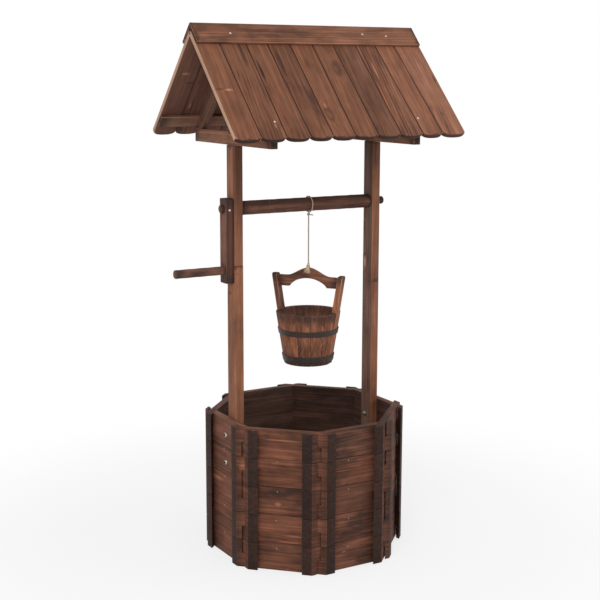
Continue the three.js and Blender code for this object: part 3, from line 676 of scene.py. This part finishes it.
def build_twine():
    rng = random.Random(3)
    grey = twine_finish("grey_jute_twine", (176, 164, 156), (112, 96, 88))
    pinkish = twine_finish("tan_jute_twine", (186, 160, 142), (122, 94, 80))
    frayed = twine_finish("frayed_jute", (226, 202, 176), (166, 134, 106))

    top = on_drop(KNOT_Z)
    path = [on_drop(KNOT_Z + (DROP_BOTTOM - KNOT_Z) * step / 30) for step in range(31)]
    drop = twine("twine_drop", path, grey)
    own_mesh(drop)
    show(drop, "hanging_rope", "twine", "rope_drop")

    knot = twine("twine_knot", knot_line(top, 0.00098), grey, 0.00125, True, 0.3)
    bends = ((0.001, -0.001, -0.0005), (0.005, -0.003, -0.0006), (0.0095, -0.002, -0.0016))
    tail = twine("twine_tail", [top + Vector(bend) for bend in bends], grey, TIGHT_RADIUS, seed=0.5)
    # The neck's two strands end inside the loop's twine, low enough to swing under the roller
    neck = []
    for side in (-1, 1):
        line = [top + Vector((0, side * 0.0013, 0.0062)), top + Vector((0, side * 0.0011, 0.0026)), top]
        neck.append(twine("twine_neck", line, grey, TIGHT_RADIUS, seed=0.6))
    ends = hairs("tail_fibres", [(top + Vector((0.009, -0.002, -0.0015)),
                                  (1, rng.uniform(-0.5, 0.5), rng.uniform(-0.6, 0.3)), 0.003)
                                 for _ in range(TAIL_FIBRES)], rng, 0.00018, grey)
    knot = show(join([knot, tail, ends, *neck], "twine_knot"), "hanging_rope", "twine", "rope_drop")

    low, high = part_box("rope_loop")
    loop_radius = (high.z - low.z) / 2 - TWINE_RADIUS
    ring = []
    for step in range(97):
        angle = math.tau * step / 96
        wander = 0.0005 * math.sin(angle) + 0.0002 * math.cos(2 * angle)
        ring.append(Vector((ROPE_X + wander, -loop_radius * math.sin(angle),
                            AXLE_Z - loop_radius * math.cos(angle))))
    loop = twine("twine_loop", ring, pinkish, closed=True, seed=0.7)
    show(loop, "windlass", "twine", "rope_loop")

    # The hitch: doubled through the hole in the arch board, and frayed out over its front face
    low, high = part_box("rope_hitch")
    turn = Matrix.Rotation(BUCKET_TURN, 3, "Z")
    reach = 0.0072
    hole_z = low.z + 0.0015
    middle_z = high.z - 0.011
    side = [(0, HITCH_KNOT_Z), (reach * 0.55, HITCH_KNOT_Z - 0.003), (reach, middle_z - 0.001),
            (reach, hole_z + 0.003), (reach * 0.75, hole_z + 0.0006), (0.004, hole_z)]
    line = side + [(-y, z) for y, z in reversed(side)]
    points = [turn @ Vector((0, y, 0)) + on_drop(z) for y, z in line]
    strands = twine("hitch_strands", points, frayed, 0.0014, True, 0.2)
    head = on_drop(HITCH_KNOT_Z)
    hitch_knot = twine("hitch_knot", knot_line(head, 0.00078, BUCKET_TURN), frayed, TIGHT_RADIUS, True, 0.9)
    roots = []
    for _ in range(TUFT_FIBRES):
        across = rng.uniform(-1, 1)
        front = rng.uniform(0.0058, 0.0085)
        start = Vector((across * 0.0022, -front * rng.uniform(0.4, 0.9), -rng.uniform(0.001, 0.004)))
        end = Vector((across * 0.0066, -front, -rng.uniform(0.014, 0.021)))
        start, end = (head + turn @ point for point in (start, end))
        roots.append((start, end - start, (end - start).length))
    tuft = hairs("hitch_tuft", roots, rng, 0.00042, frayed, 5)
    # The twine's last stretch rises with the bucket, and its thinner end stands inside the drop
    stem = [twine("hitch_stem", [head, on_drop(DROP_BOTTOM + past)], grey, radius, seed=0.1)
            for past, radius in ((-0.0001, 0.0014), (0.0025, 0.001))]
    hitch = show(join([strands, hitch_knot, tuft, *stem], "twine_hitch"), "hitch", "twine", "rope_hitch")

    strays = [stray(rng, (ROPE_X, 0, rng.uniform(DROP_BOTTOM + 0.004, KNOT_Z - 0.004)), 1.2,
                    rng.uniform(0.0008, 0.0022)) for _ in range(STRAY_FIBRES)]
    fuzz = hairs("drop_fibres", strays, rng, 0.00006, grey)
    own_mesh(fuzz)
    show(fuzz, "hanging_rope", "twine", "rope_drop")


# Well: forty planks, five to a wall, each its own board

WALLS = ["front", "front_right", "right", "back_right", "back", "back_left", "left", "front_left"]
PLANK_HEIGHT = 0.063
PLANK_GAP = 0.0001
PLANKS_PER_WALL = 5
# Tone, scorch, warmth and scar of the planks that face the camera, from the bottom up
WALL_STAINS = {
    "front_left": [(0.86, 0.5, 0.5, None), (1.12, 0.35, 0.6, (0.03, -0.014, 0.03, 0.003, 0.5)),
                   (0.88, 0.5, 0.5, (-0.007, -0.0065, 0.0085, 0.006, 0.9)),
                   (1.05, 0.4, 0.7, (-0.085, 0.006, 0.012, 0.014, 0.4)),
                   (1.05, 0.4, 0.6, (0.0, 0.010, 0.04, 0.002, 0.5))],
    "front": [(1.12, 0.4, 0.35, (-0.02, 0.008, 0.008, 0.003, 0.5)), (1.0, 0.5, 0.4, None),
              (0.76, 0.4, 0.3, None), (0.95, 0.45, 0.5, (-0.04, 0.004, 0.05, 0.0015, 0.5)),
              (0.82, 0.45, 0.0, None)],
    "left": [(0.96, 0.4, 0.5, None), (0.92, 0.4, 0.5, None),
             (1.2, 0.15, 0.5, (-0.04, 0.012, 0.04, 0.006, 0.4)),
             (0.98, 0.4, 0.3, None), (1.16, 0.4, 0.05, None)],
}
WALL_KNOTS = {("front_left", 2): (-0.007, -0.0065, 0.0022), ("front", 1): (0.015, -0.006, 0.004)}


def wall_direction(index):
    return level(math.tau * index / len(WALLS))


def wall_plank(wall, layer, along, rng):
    piece = copy_of("wall_" + wall, f"wall_{wall}_plank_{layer + 1}")
    top_layer = layer == PLANKS_PER_WALL - 1
    low = layer * PLANK_HEIGHT + (PLANK_GAP if layer else -0.001)
    high = (layer + 1) * PLANK_HEIGHT + (0.001 if top_layer else -PLANK_GAP)
    cut(piece, (0, 0, low), Z)
    cut(piece, (0, 0, high), -Z)
    stains = WALL_STAINS.get(wall)
    plain = (rng.uniform(0.85, 1.15), rng.uniform(0.3, 0.6), rng.uniform(0.3, 0.7), None)
    tone, burn, warmth, scar = stains[layer] if stains else plain
    knot = WALL_KNOTS.get((wall, layer))
    if knot is None and rng.random() < 0.3:
        knot = (rng.uniform(-0.06, 0.06), rng.uniform(-0.02, 0.02), rng.uniform(0.003, 0.005))
    return finish_board(piece, WELL, along, Z, rng.random() * 10, 0.0014, tone, burn, warmth, knot=knot,
                        scar=scar, lines=rng.uniform(0.9, 1.4), inner=Z.cross(along),
                        seams=(-Z,) if top_layer else (Z, -Z))


def build_well():
    rng = random.Random(5)
    for index, wall in enumerate(WALLS):
        along = wall_direction(index)
        planks = [wall_plank(wall, layer, along, rng) for layer in range(PLANKS_PER_WALL)]
        show(join(planks, f"wall_{wall}_planks"), "well", "well_wood", "wall_" + wall)


# Posts and roof, each board from its CAD shape

LEVEL, STEEP = math.cos(ROOF_PITCH), math.sin(ROOF_PITCH)
DOWN = {"front": Vector((0, -LEVEL, -STEEP)), "back": Vector((0, LEVEL, -STEEP))}
UNDERSIDE = {"front": Vector((0, STEEP, -LEVEL)), "back": Vector((0, -STEEP, -LEVEL))}
# Front roof planks from the left: tone, scorch, warmth, grain lines, knot, scorch mark and scar
ROOF_PLANKS = [
    (0.93, 0.22, 0.50, 0.4, None, (0.012, -0.017, 0.003, 0.012, 0.5), (0.014, 0.002, 0.004, 0.012, 0.8)),
    (0.89, 0.35, 0.50, 1.5, None, (-0.09, 0.012, 0.04, 0.004, 0.8), (0.109, 0.017, 0.009, 0.004, 0.5)),
    (0.88, 0.30, 0.60, 0.9, None, (-0.035, -0.020, 0.032, 0.0035, 1.0), None),
    (0.76, 0.35, 0.45, 1.2, None, (-0.06, -0.017, 0.055, 0.005, 0.8), None),
    (0.97, 0.28, 0.50, 0.6, (0.081, -0.010, 0.009), None, (0.059, -0.012, 0.010, 0.004, 0.5)),
    (0.90, 0.28, 0.50, 0.7, (-0.045, 0.004, 0.010), None, None),
    (0.90, 0.45, 0.20, 0.7, None, (0.122, -0.020, 0.006, 0.003, 1.0), None),
    (1.12, 0.40, 0.35, 1.6, None, (-0.053, -0.021, 0.06, 0.004, 0.9), (-0.04, -0.012, 0.03, 0.004, 0.5)),
    (1.20, 0.30, 0.35, 0.9, None, (0.04, -0.026, 0.03, 0.003, 0.8), None),
    (1.55, 0.28, 0.15, 0.9, (0.086, 0.001, 0.0035), (-0.013, 0.028, 0.016, 0.003, 1.0), None),
]


SEAM_REACH = 0.00015


def close_up(piece, seams):
    """Widens a board a little towards its neighbours, so that no light shows between them."""
    for seam in seams:
        edge = max(vertex.co.dot(seam) for vertex in piece.data.vertices)
        for vertex in piece.data.vertices:
            if vertex.co.dot(seam) > edge - 0.0001:
                vertex.co += seam * SEAM_REACH


def timber(node, woods, slot, along, across, rng, body="well", **finish):
    piece = copy_of(node, node + "_timber")
    close_up(piece, [seam for seam in finish.get("seams", ()) if abs(seam.x) == 1])
    finish_board(piece, woods, along, across, rng.random() * 10, **finish)
    return show(piece, body, slot, node)


def build_posts_and_roof():
    rng = random.Random(11)
    post = {"woods": POST, "slot": "post_wood", "along": Z, "across": Y, "rng": rng, "bevel": 0.0015}
    timber("post_left_lower", **post, inner=X, tone=1.0, burn=0.3)
    timber("post_left_upper", **post, inner=X, tone=1.06, burn=0.3, warmth=0.3,
           mark=(0.105, -0.019, 0.155, 0.008, 0.75))
    # Near this post's top a pale patch is painted: a painted highlight standing for the lit bevel on the top
    # of its tongue.
    timber("post_right_lower", **post, inner=-X, tone=1.0, burn=0.35, scar=(0.31, 0.010, 0.019, 0.007, 1.0))
    timber("post_right_upper", **post, inner=-X, tone=0.88, burn=0.4, mark=(0.12, -0.010, 0.10, 0.008, 0.6))
    for side in ("left", "right"):
        timber(f"tie_beam_{side}", FRAME, "frame_wood", Y, Z, rng, tone=1.55, burn=0.2, warmth=0.7)
        for face in ("front", "back"):
            timber(f"rafter_{face}_{side}", FRAME, "frame_wood", DOWN[face], X, rng, tone=0.85, burn=0.35)
    for face in ("front", "back"):
        timber(f"eave_batten_{face}", FRAME, "frame_wood", X, DOWN[face], rng, tone=1.1, burn=0.4, warmth=0.6)
        timber(f"ridge_cap_{face}", CAP, "cap_wood", X, DOWN[face], rng, bevel=0.001, burn=0.45, lines=1.2)
        last = len(ROOF_PLANKS) - 1
        for index, (tone, burn, warmth, lines, knot, mark, scar) in enumerate(ROOF_PLANKS):
            if face == "back":
                tone, warmth = tone * rng.uniform(0.93, 1.07), rng.uniform(0.3, 0.7)
                knot = knot and (-knot[0], -knot[1], knot[2])
                mark = mark and (-mark[0] * 0.8, -mark[1], *mark[2:])
                scar = scar and (scar[0] - 0.05, -scar[1], *scar[2:])
            seams = [DOWN[face]] + ([-X] if index else []) + ([X] if index < last else [])
            timber(f"roof_{face}_plank_{index + 1:02d}", ROOF, "roof_wood", DOWN[face], X, rng, tone=tone,
                   bevel=0.0013, burn=burn, warmth=warmth, lines=lines, knot=knot, mark=mark, scar=scar,
                   inner=UNDERSIDE[face], flank=X, seams=seams)


# Windlass: a turned roller with its journals, a crank arm and a turned handle

def smooth(value, low, high):
    share = min(1.0, max(0.0, (value - low) / (high - low)))
    return share * share * (3 - 2 * share)


def darken(piece, scorch_and_shade):
    """Lowers the tone of a piece's wood by 0 to 1 at each point, for scorch and for painted shade."""
    stain = piece.data.attributes["stain"].data
    for vertex, value in zip(piece.data.vertices, stain):
        tone, burn, warmth = value.vector
        value.vector = (tone * (1 - 0.5 * scorch_and_shade(vertex.co)), burn, warmth)


def worn(radius, start, end, steps, wave, phase=0.0):
    """The slightly uneven length of a turned piece."""
    return [(radius - 0.0002 * (1 + math.cos(step * wave + phase)), start + (end - start) * step / steps)
            for step in range(1, steps)]


def build_windlass():
    rng = random.Random(21)
    low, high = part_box("windlass_roller")
    end_play = 0.0008
    inner_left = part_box("post_left_upper")[1].x + end_play
    inner_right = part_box("post_right_upper")[0].x - end_play
    radius, journal, chamfer, rounding = (high.z - low.z) / 2, 0.00875, 0.003, 0.004
    profile = [(0, low.x), (journal - 0.0016, low.x), (journal - 0.0005, low.x + 0.0005),
               (journal, low.x + 0.0016), (journal, inner_left), (radius - chamfer, inner_left),
               (radius - 0.0008, inner_left + chamfer - 0.0008), (radius, inner_left + chamfer + 0.0008)]
    profile += worn(radius, inner_left + chamfer, inner_right - chamfer, 24, 2.3, -math.pi / 2)
    profile += [(radius, inner_right - chamfer - 0.0008), (radius - 0.0008, inner_right - chamfer + 0.0008),
                (radius - chamfer, inner_right), (journal, inner_right)]
    profile += arc(rounding, (journal - rounding, high.x - rounding), 0, 90, 6) + [(0, high.x)]
    roller = lay_down(turned_piece("windlass_roller_turned", profile, 48), X, (0, 0, AXLE_Z))
    finish_board(roller, WINDLASS, X, Y, 3.7, bevel=0, tone=0.68, burn=0.35, lines=1.4, warmth=0.5,
                 ends=EDGE)

    def scorch_and_shade(point):
        """The roller is darker on its upper side, and at its left end by the post, where the dark is scorch
        and painted contact shade; the journal beyond the post isn't.
        """
        if point.x < inner_left - 0.001:
            return 0
        return max(0.7 * smooth(point.z - AXLE_Z, -0.002, 0.008),
                   1.3 * smooth(inner_left + 0.014 - point.x, -0.006, 0.006))

    darken(roller, scorch_and_shade)
    show(roller, "windlass", "windlass_wood", "windlass_roller")

    timber("crank_arm", WINDLASS, "windlass_wood", Z, Y, rng, body="windlass", bevel=0.0018, tone=1.2,
           burn=0.35, warmth=0.5, lines=1.3, inner=-Y)

    low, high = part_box("crank_handle")
    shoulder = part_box("crank_arm")[0].x - 0.0003
    radius, tenon, rounding = (high.y - low.y) / 2, 0.006, 0.003
    length = high.x - low.x
    collar = high.x - shoulder
    profile = [(0, 0), (tenon, 0), (tenon, collar), (radius - 0.0012, collar),
               (radius - 0.0003, collar + 0.0004), (radius, collar + 0.0014)]
    profile += worn(radius, collar, length - rounding, 12, 1.7)
    profile += arc(rounding, (radius - rounding, length - rounding), 0, 90, 6) + [(0, length)]
    handle = turned_piece("crank_handle_turned", profile, 40)
    lay_down(handle, -X, (high.x, (low.y + high.y) / 2, (low.z + high.z) / 2))
    finish_board(handle, WINDLASS, X, Y, 8.1, bevel=0, tone=1.08, burn=0.4, lines=1.1, warmth=0.0,
                 ends=EDGE)
    show(handle, "windlass", "windlass_wood", "crank_handle")


# Bucket

EAR_HALF_DEG = 10.4
STAVE_EDGES_DEG = [EAR_HALF_DEG, 35, 63, 89, 116, 142, 180 - EAR_HALF_DEG]
STAVE_GAP_DEG = 0.01
BUCKET_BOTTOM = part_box("bucket_staves")[0].z
BOARD_SHOULDER = 0.197
BOARD_UNDERSIDE = 0.1725
BOARD_CREST_RISE = 0.019
BOARD_ARCH_RISE = 0.020
BOARD_CREST_HALF_WIDTH = 0.054
BOARD_ARCH_HALF_WIDTH = 0.045
BOARD_THICKNESS = 0.010
EAR_INSIDE = 0.0410
RIVETS_AT, RIVET_SPREAD = math.radians(118), 0.075
# The outermost cuts for the base boards lie just past the base's rim
BASE_OVERLAP = 1.01
TAPER = 0.16


def around(degrees):
    """A level direction, as an angle from the line through the bucket's two ears."""
    return level(math.radians(degrees) + BUCKET_TURN)


def stave(start, end, rng, number):
    piece = copy_of("bucket_staves", f"bucket_stave_{number:02d}")
    axis = on_drop(0)
    cut(piece, axis, Z.cross(around(start + STAVE_GAP_DEG)))
    cut(piece, axis, around(end - STAVE_GAP_DEG).cross(Z))
    out = around((start + end) / 2)
    return finish_board(piece, BUCKET, Z, Z.cross(out), rng.random() * 10, 0.0006, rng.uniform(0.88, 1.1),
                        rng.uniform(0.3, 0.55), rng.uniform(0.5, 0.8), lines=1.5, inner=-out,
                        seams=(Z.cross(out), out.cross(Z)))


def arch_board(rng):
    """The board between the ears, with its crest, its arch and the hole for the twine."""
    def end_reach(height):
        return EAR_INSIDE + TAPER * height

    right = []
    for step in range(25):
        share = step / 24
        right.append((share * BOARD_CREST_HALF_WIDTH,
                      BOARD_SHOULDER + BOARD_CREST_RISE * (0.5 + 0.5 * math.cos(math.pi * share))))
    right += [(end_reach(BOARD_SHOULDER), BOARD_SHOULDER), (end_reach(BOARD_UNDERSIDE), BOARD_UNDERSIDE)]
    for step in range(25):
        share = math.cos(math.pi / 2 * step / 24)
        rise = (math.sqrt(max(0.0, 1 - share ** 2)) + 1 - share ** 2) / 2
        right.append((share * BOARD_ARCH_HALF_WIDTH, BOARD_UNDERSIDE + BOARD_ARCH_RISE * rise))
    outline = right + [(-x, z) for x, z in reversed(right[1:-1])]
    half = BOARD_THICKNESS / 2
    face = tuple(range(len(outline)))
    board = from_outline("arch_board", [(x, -half, z) for x, z in outline], faces=[face])
    with editing(board, "FACE"):
        bpy.ops.mesh.extrude_region_move(TRANSFORM_OT_translate={"value": (0, BOARD_THICKNESS, 0)})
        bpy.ops.mesh.select_all(action="SELECT")
        bpy.ops.mesh.normals_make_consistent(inside=False)
    hole_height = BOARD_SHOULDER + BOARD_CREST_RISE - 0.011
    bore(board, cylinder(24, 0.003, 3 * BOARD_THICKNESS, (0, 0, hole_height), (math.pi / 2, 0, 0)))
    place = Matrix.Translation(on_drop(BUCKET_BOTTOM))
    board.data.transform(place @ Matrix.Rotation(BUCKET_TURN, 4, "Z"))
    return finish_board(board, BUCKET, around(0), Z, rng.random() * 10, 0.0009, 0.98, 0.45, 0.35, lines=1.4)


def hoop(node, rivet, finish):
    """A flat band with rounded edges, riveted at the back."""
    low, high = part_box(node)
    height = high.z - low.z
    bottom = (high.x - low.x) / 2 - TAPER * height
    thick, edge = 0.0018, 0.0004
    rise = TAPER * height
    section = [(bottom - thick, edge), (bottom - edge, 0), (bottom, edge), (bottom + rise, height - edge),
               (bottom - edge + rise, height), (bottom - thick + rise, height - edge)]
    pieces = [turned_piece(node + "_band", section, 96)]
    for side in (-1, 1):
        out = level(RIVETS_AT + side * RIVET_SPREAD)
        place = out * (bottom + rise / 2) + Z * height / 2
        pieces.append(copy_shape(rivet, f"{node}_rivet_{side + 2}", aimed(out, place)))
    piece = join(pieces, node + "_band")
    piece.data.transform(Matrix.Translation(on_drop(low.z)))
    return show(metal_piece(piece, finish), "bucket", "hoop_metal", node)


def build_bucket():
    rng = random.Random(31)
    staves = []
    for half_turn in (0, 180):
        edges = [edge + half_turn for edge in STAVE_EDGES_DEG]
        for start, end in zip(edges, edges[1:]):
            staves.append(stave(start, end, rng, len(staves) + 1))
        staves.append(stave(half_turn - EAR_HALF_DEG, half_turn + EAR_HALF_DEG, rng, len(staves) + 1))
    show(join(staves, "bucket_staves_set"), "bucket", "bucket_wood", "bucket_staves")

    boards = []
    low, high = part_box("bucket_base")
    reach = (high.x - low.x) / 2 * BASE_OVERLAP
    axis, side = on_drop(0), around(90)
    for start, end in ((-1.0, -0.3), (-0.3, 0.35), (0.35, 1.0)):
        board = copy_of("bucket_base", f"bucket_base_board_{len(boards) + 1}")
        cut(board, axis + side * (start * reach + PLANK_GAP), side)
        cut(board, axis + side * (end * reach - PLANK_GAP), -side)
        boards.append(finish_board(board, BUCKET, around(0), side, rng.random() * 10, 0.0004,
                                   rng.uniform(0.85, 1.0), 0.5, 0.4))
    show(join(boards, "bucket_base_boards"), "bucket", "bucket_wood", "bucket_base")

    ear = {"woods": BUCKET, "slot": "bucket_wood", "along": Z, "across": around(90), "rng": rng,
           "body": "bucket", "bevel": 0.0016}
    timber("bucket_ear_left", **ear, tone=0.92, burn=0.5, warmth=0.25, mark=(0.1, 0.0, 0.012, 0.012, 0.9))
    timber("bucket_ear_right", **ear, tone=1.28, burn=0.35, warmth=0.55)
    show(arch_board(rng), "bucket", "bucket_wood", "bucket_arch_board")
    finish = hoop_finish()
    dome = arc(0.0021, (0, -0.0012), 85, 12, 6)
    rivet = turned_piece("hoop_rivet", [(0, 0.0009)] + dome + [(0, -0.0012)], 16)
    for node in ("bucket_hoop_lower", "bucket_hoop_upper"):
        hoop(node, rivet, finish)
    bpy.data.objects.remove(rivet)


# Bolts with domed heads, and nails

# A head's diameter over its nut's width at the corners
HEAD_TO_NUT = 0.956
NUT_INSET = 0.0065


def domed_bolt(length, head_radius):
    """A domed bolt standing on its head, with a socket for its key, its nut and the last threads past it."""
    head, shank, socket, nut_height, nut_radius = 0.003, 0.003, 0.0027, 0.0045, 0.00577
    nut_start = length - NUT_INSET
    profile = [(0, 0)]
    for step in range(1, 9):
        share = step / 8
        profile.append((head_radius * share, head * (1 - math.sqrt(1 - share ** 2))))
    profile += [(head_radius * 0.97, head + 0.0001), (shank, head + 0.0001), (shank, nut_start + nut_height)]
    for ridge in range(3):
        start = nut_start + nut_height + 0.0001 + ridge * 0.0006
        profile += [(shank - 0.0004, start), (shank, start + 0.0003)]
    profile += [(shank - 0.0006, length), (0, length)]
    bolt = turned_piece("domed_bolt", profile, 32)
    bore(bolt, cylinder(6, socket, 0.005))
    nut = cylinder(6, nut_radius, nut_height, (0, 0, nut_start + nut_height / 2))
    bpy.ops.object.transform_apply(location=True, rotation=True, scale=True)
    apply_modifier(nut, "BEVEL", width=0.0006, segments=2, limit_method="ANGLE")
    zinc = steel_finish("zinc_bolt", (178, 170, 162), (104, 92, 84), 0.32)
    bolt = metal_piece(join([bolt, nut], "domed_bolt"), zinc)
    bolt.data.materials.append(steel_finish("socket_shadow", (70, 56, 50), (38, 28, 24), 0.6))
    for polygon in bolt.data.polygons:
        if polygon.center.z < head and polygon.center.xy.length < socket - 0.00005:
            polygon.material_index = 1
    return bolt


def build_bolts():
    low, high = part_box("bolt_left_upper")
    pattern = domed_bolt(high.x - low.x, (high.y - low.y) / 2 * HEAD_TO_NUT)
    for side, outward in (("left", -1), ("right", 1)):
        for row in ("upper", "lower"):
            node = f"bolt_{side}_{row}"
            low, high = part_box(node)
            centre = (low + high) / 2
            centre.x = high.x if outward > 0 else low.x
            bolt = copy_shape(pattern, node + "_domed", aimed(-X * outward, centre))
            show(bolt, "well", "bolt_steel", node)
    bpy.data.objects.remove(pattern)


def nails(name, places, body, finish, radius=0.0016):
    """Nail heads, each a copy of one turned head."""
    profile = [(0, 0.0005), (radius * 0.6, 0.00045), (radius * 0.92, 0.0003), (radius, 0.0),
               (radius * 0.4, -0.0008), (0, -0.0008)]
    head = turned_piece("nail_head", profile, 12)
    heads = [copy_shape(head, f"{name}_{number}", aimed(outward, place))
             for number, (place, outward) in enumerate(places, 1)]
    bpy.data.objects.remove(head)
    piece = metal_piece(join(heads, name), finish)
    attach(piece, body)


# Bare nails on the front of the roof: a plank's number, the way down from the ridge and the way across,
# and on its ridge cap the way across and the way down. Further ones are dull.
BARE_PLANK_NAILS = {2: (0.2557, 0.019), 9: (0.2537, -0.012)}
BARE_CAP_NAILS = [(-0.1947, 0.021), (0.1967, 0.021), (0.1355, 0.0165)]
DULL_CAP_NAIL = (-0.012, 0.021)
CAP_TOP = 0.0068
PLANK_NAIL_ROW = 0.256
WALL_NAIL_HEIGHTS = (0.0496, 0.1140, 0.1800, 0.2450)
WALL_NAILS_ALONG = -0.0095
POST_NAIL_HEIGHTS = (0.612, 0.640)
CRANK_NAIL_FROM_WELL = -0.1972
BARE_NAIL_RADIUS = 0.0024


def build_nails():
    rng = random.Random(41)
    dull = steel_finish("stained_nail", (112, 92, 80), (62, 44, 36), 0.5)
    bare = steel_finish("bare_nail", (226, 214, 204), (170, 150, 136), 0.35)
    apothem = -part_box("wall_front")[0].y
    well_places = []
    for index in range(len(WALLS)):
        along = wall_direction(index)
        outward = along.cross(Z)
        for height in WALL_NAIL_HEIGHTS:
            place = Vector((WELL_X, 0, height + rng.uniform(-0.001, 0.001)))
            place += along * (WALL_NAILS_ALONG + rng.uniform(-0.0015, 0.0015)) + outward * apothem
            well_places.append((place, outward))
    nails("well_nails", well_places, "well", steel_finish("dull_nail", (150, 138, 128), (84, 64, 54), 0.4))

    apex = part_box("ridge_cap_front")[1].z - CAP_TOP / math.cos(ROOF_PITCH)
    top = Vector((WELL_X, 0, apex))
    roof_places, bare_places = [], []
    for face, down in DOWN.items():
        outward = -UNDERSIDE[face]
        for number in range(1, len(ROOF_PLANKS) + 1):
            low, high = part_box(f"roof_{face}_plank_{number:02d}")
            slope, across = PLANK_NAIL_ROW + rng.uniform(-0.004, 0.004), rng.uniform(-0.012, 0.012)
            is_bare = face == "front" and number in BARE_PLANK_NAILS
            if is_bare:
                slope, across = BARE_PLANK_NAILS[number]
            place = top + down * slope
            place.x = (low.x + high.x) / 2 + across
            (bare_places if is_bare else roof_places).append((place, outward))
        for nail in [*BARE_CAP_NAILS, DULL_CAP_NAIL]:
            across, slope = nail
            place = top + down * slope + outward * CAP_TOP + X * across
            is_bare = face == "front" and nail in BARE_CAP_NAILS
            (bare_places if is_bare else roof_places).append((place, outward))
    nails("roof_nails", roof_places, "well", dull)
    nails("bare_roof_nails", bare_places, "well", bare, BARE_NAIL_RADIUS)

    post_places = []
    for side in ("left", "right"):
        low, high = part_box(f"post_{side}_upper")
        for height in POST_NAIL_HEIGHTS:
            post_places.append(((low.x + 0.006, low.y, height), -Y))
            post_places.append(((high.x - 0.007, high.y, height + 0.006), Y))
    nails("post_nails", post_places, "well", dull)

    low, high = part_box("crank_arm")
    place = (WELL_X + CRANK_NAIL_FROM_WELL, low.y, AXLE_Z - 0.002)
    nails("crank_nail", [(place, -Y)], "windlass", bare, BARE_NAIL_RADIUS)


# Floor and background

def rays_seen(finish):
    """1 for rays from the camera and for mirrored and passing ones."""
    names = ("Is Camera Ray", "Is Glossy Ray", "Is Transmission Ray")
    camera, glossy, through = (finish.node("LightPath", output=name) for name in names)
    return camera.math("MAXIMUM", glossy).math("MAXIMUM", through)


def build_stage():
    bpy.ops.mesh.primitive_circle_add(vertices=96, radius=14, fill_type="NGON", location=(0, 0, -0.0005))
    floor = bpy.context.active_object
    floor.name = "studio_floor"
    f = Finish("pale_floor")
    place = f.node("TexCoord", output="Object")
    length = f.node("VectorMath", {0: place}, {"operation": "LENGTH"}, "Value")
    seen = rays_seen(f)
    matt = f.node("BsdfDiffuse", {"Color": (0.9, 0.9, 0.9, 1)})
    white = f.node("Emission", {"Color": (1, 1, 1, 1), "Strength": 1.0})
    factor = seen * (0.72 + 0.28 * length.step(0.5, 1.2))
    f.node("OutputMaterial", {"Surface": f.node("MixShader", {0: factor, 1: matt, 2: white})})
    floor.data.materials.append(f.material)

    sky = Finish("studio", "worlds")
    bpy.context.scene.world = sky.material
    seen = rays_seen(sky)
    soft = sky.node("Background", {"Color": (0.99, 0.99, 1.0, 1), "Strength": 0.61})
    white = sky.node("Background", {"Color": (1, 1, 1, 1), "Strength": 1.0})
    sky.node("OutputWorld", {"Surface": sky.node("MixShader", {0: seen, 1: soft, 2: white})})


place_camera()
build_twine()
build_stage()
area_light("key", (-2.2, -2.6, 2.6), (0, 0, 0.6), 2.4, 70)
area_light("fill", (2.8, -1.6, 1.6), (0, 0, 0.6), 2.4, 22)
bpy.context.scene.view_settings.view_transform = "Standard"

build_well()
build_posts_and_roof()
build_windlass()
build_bucket()
build_bolts()
build_nails()
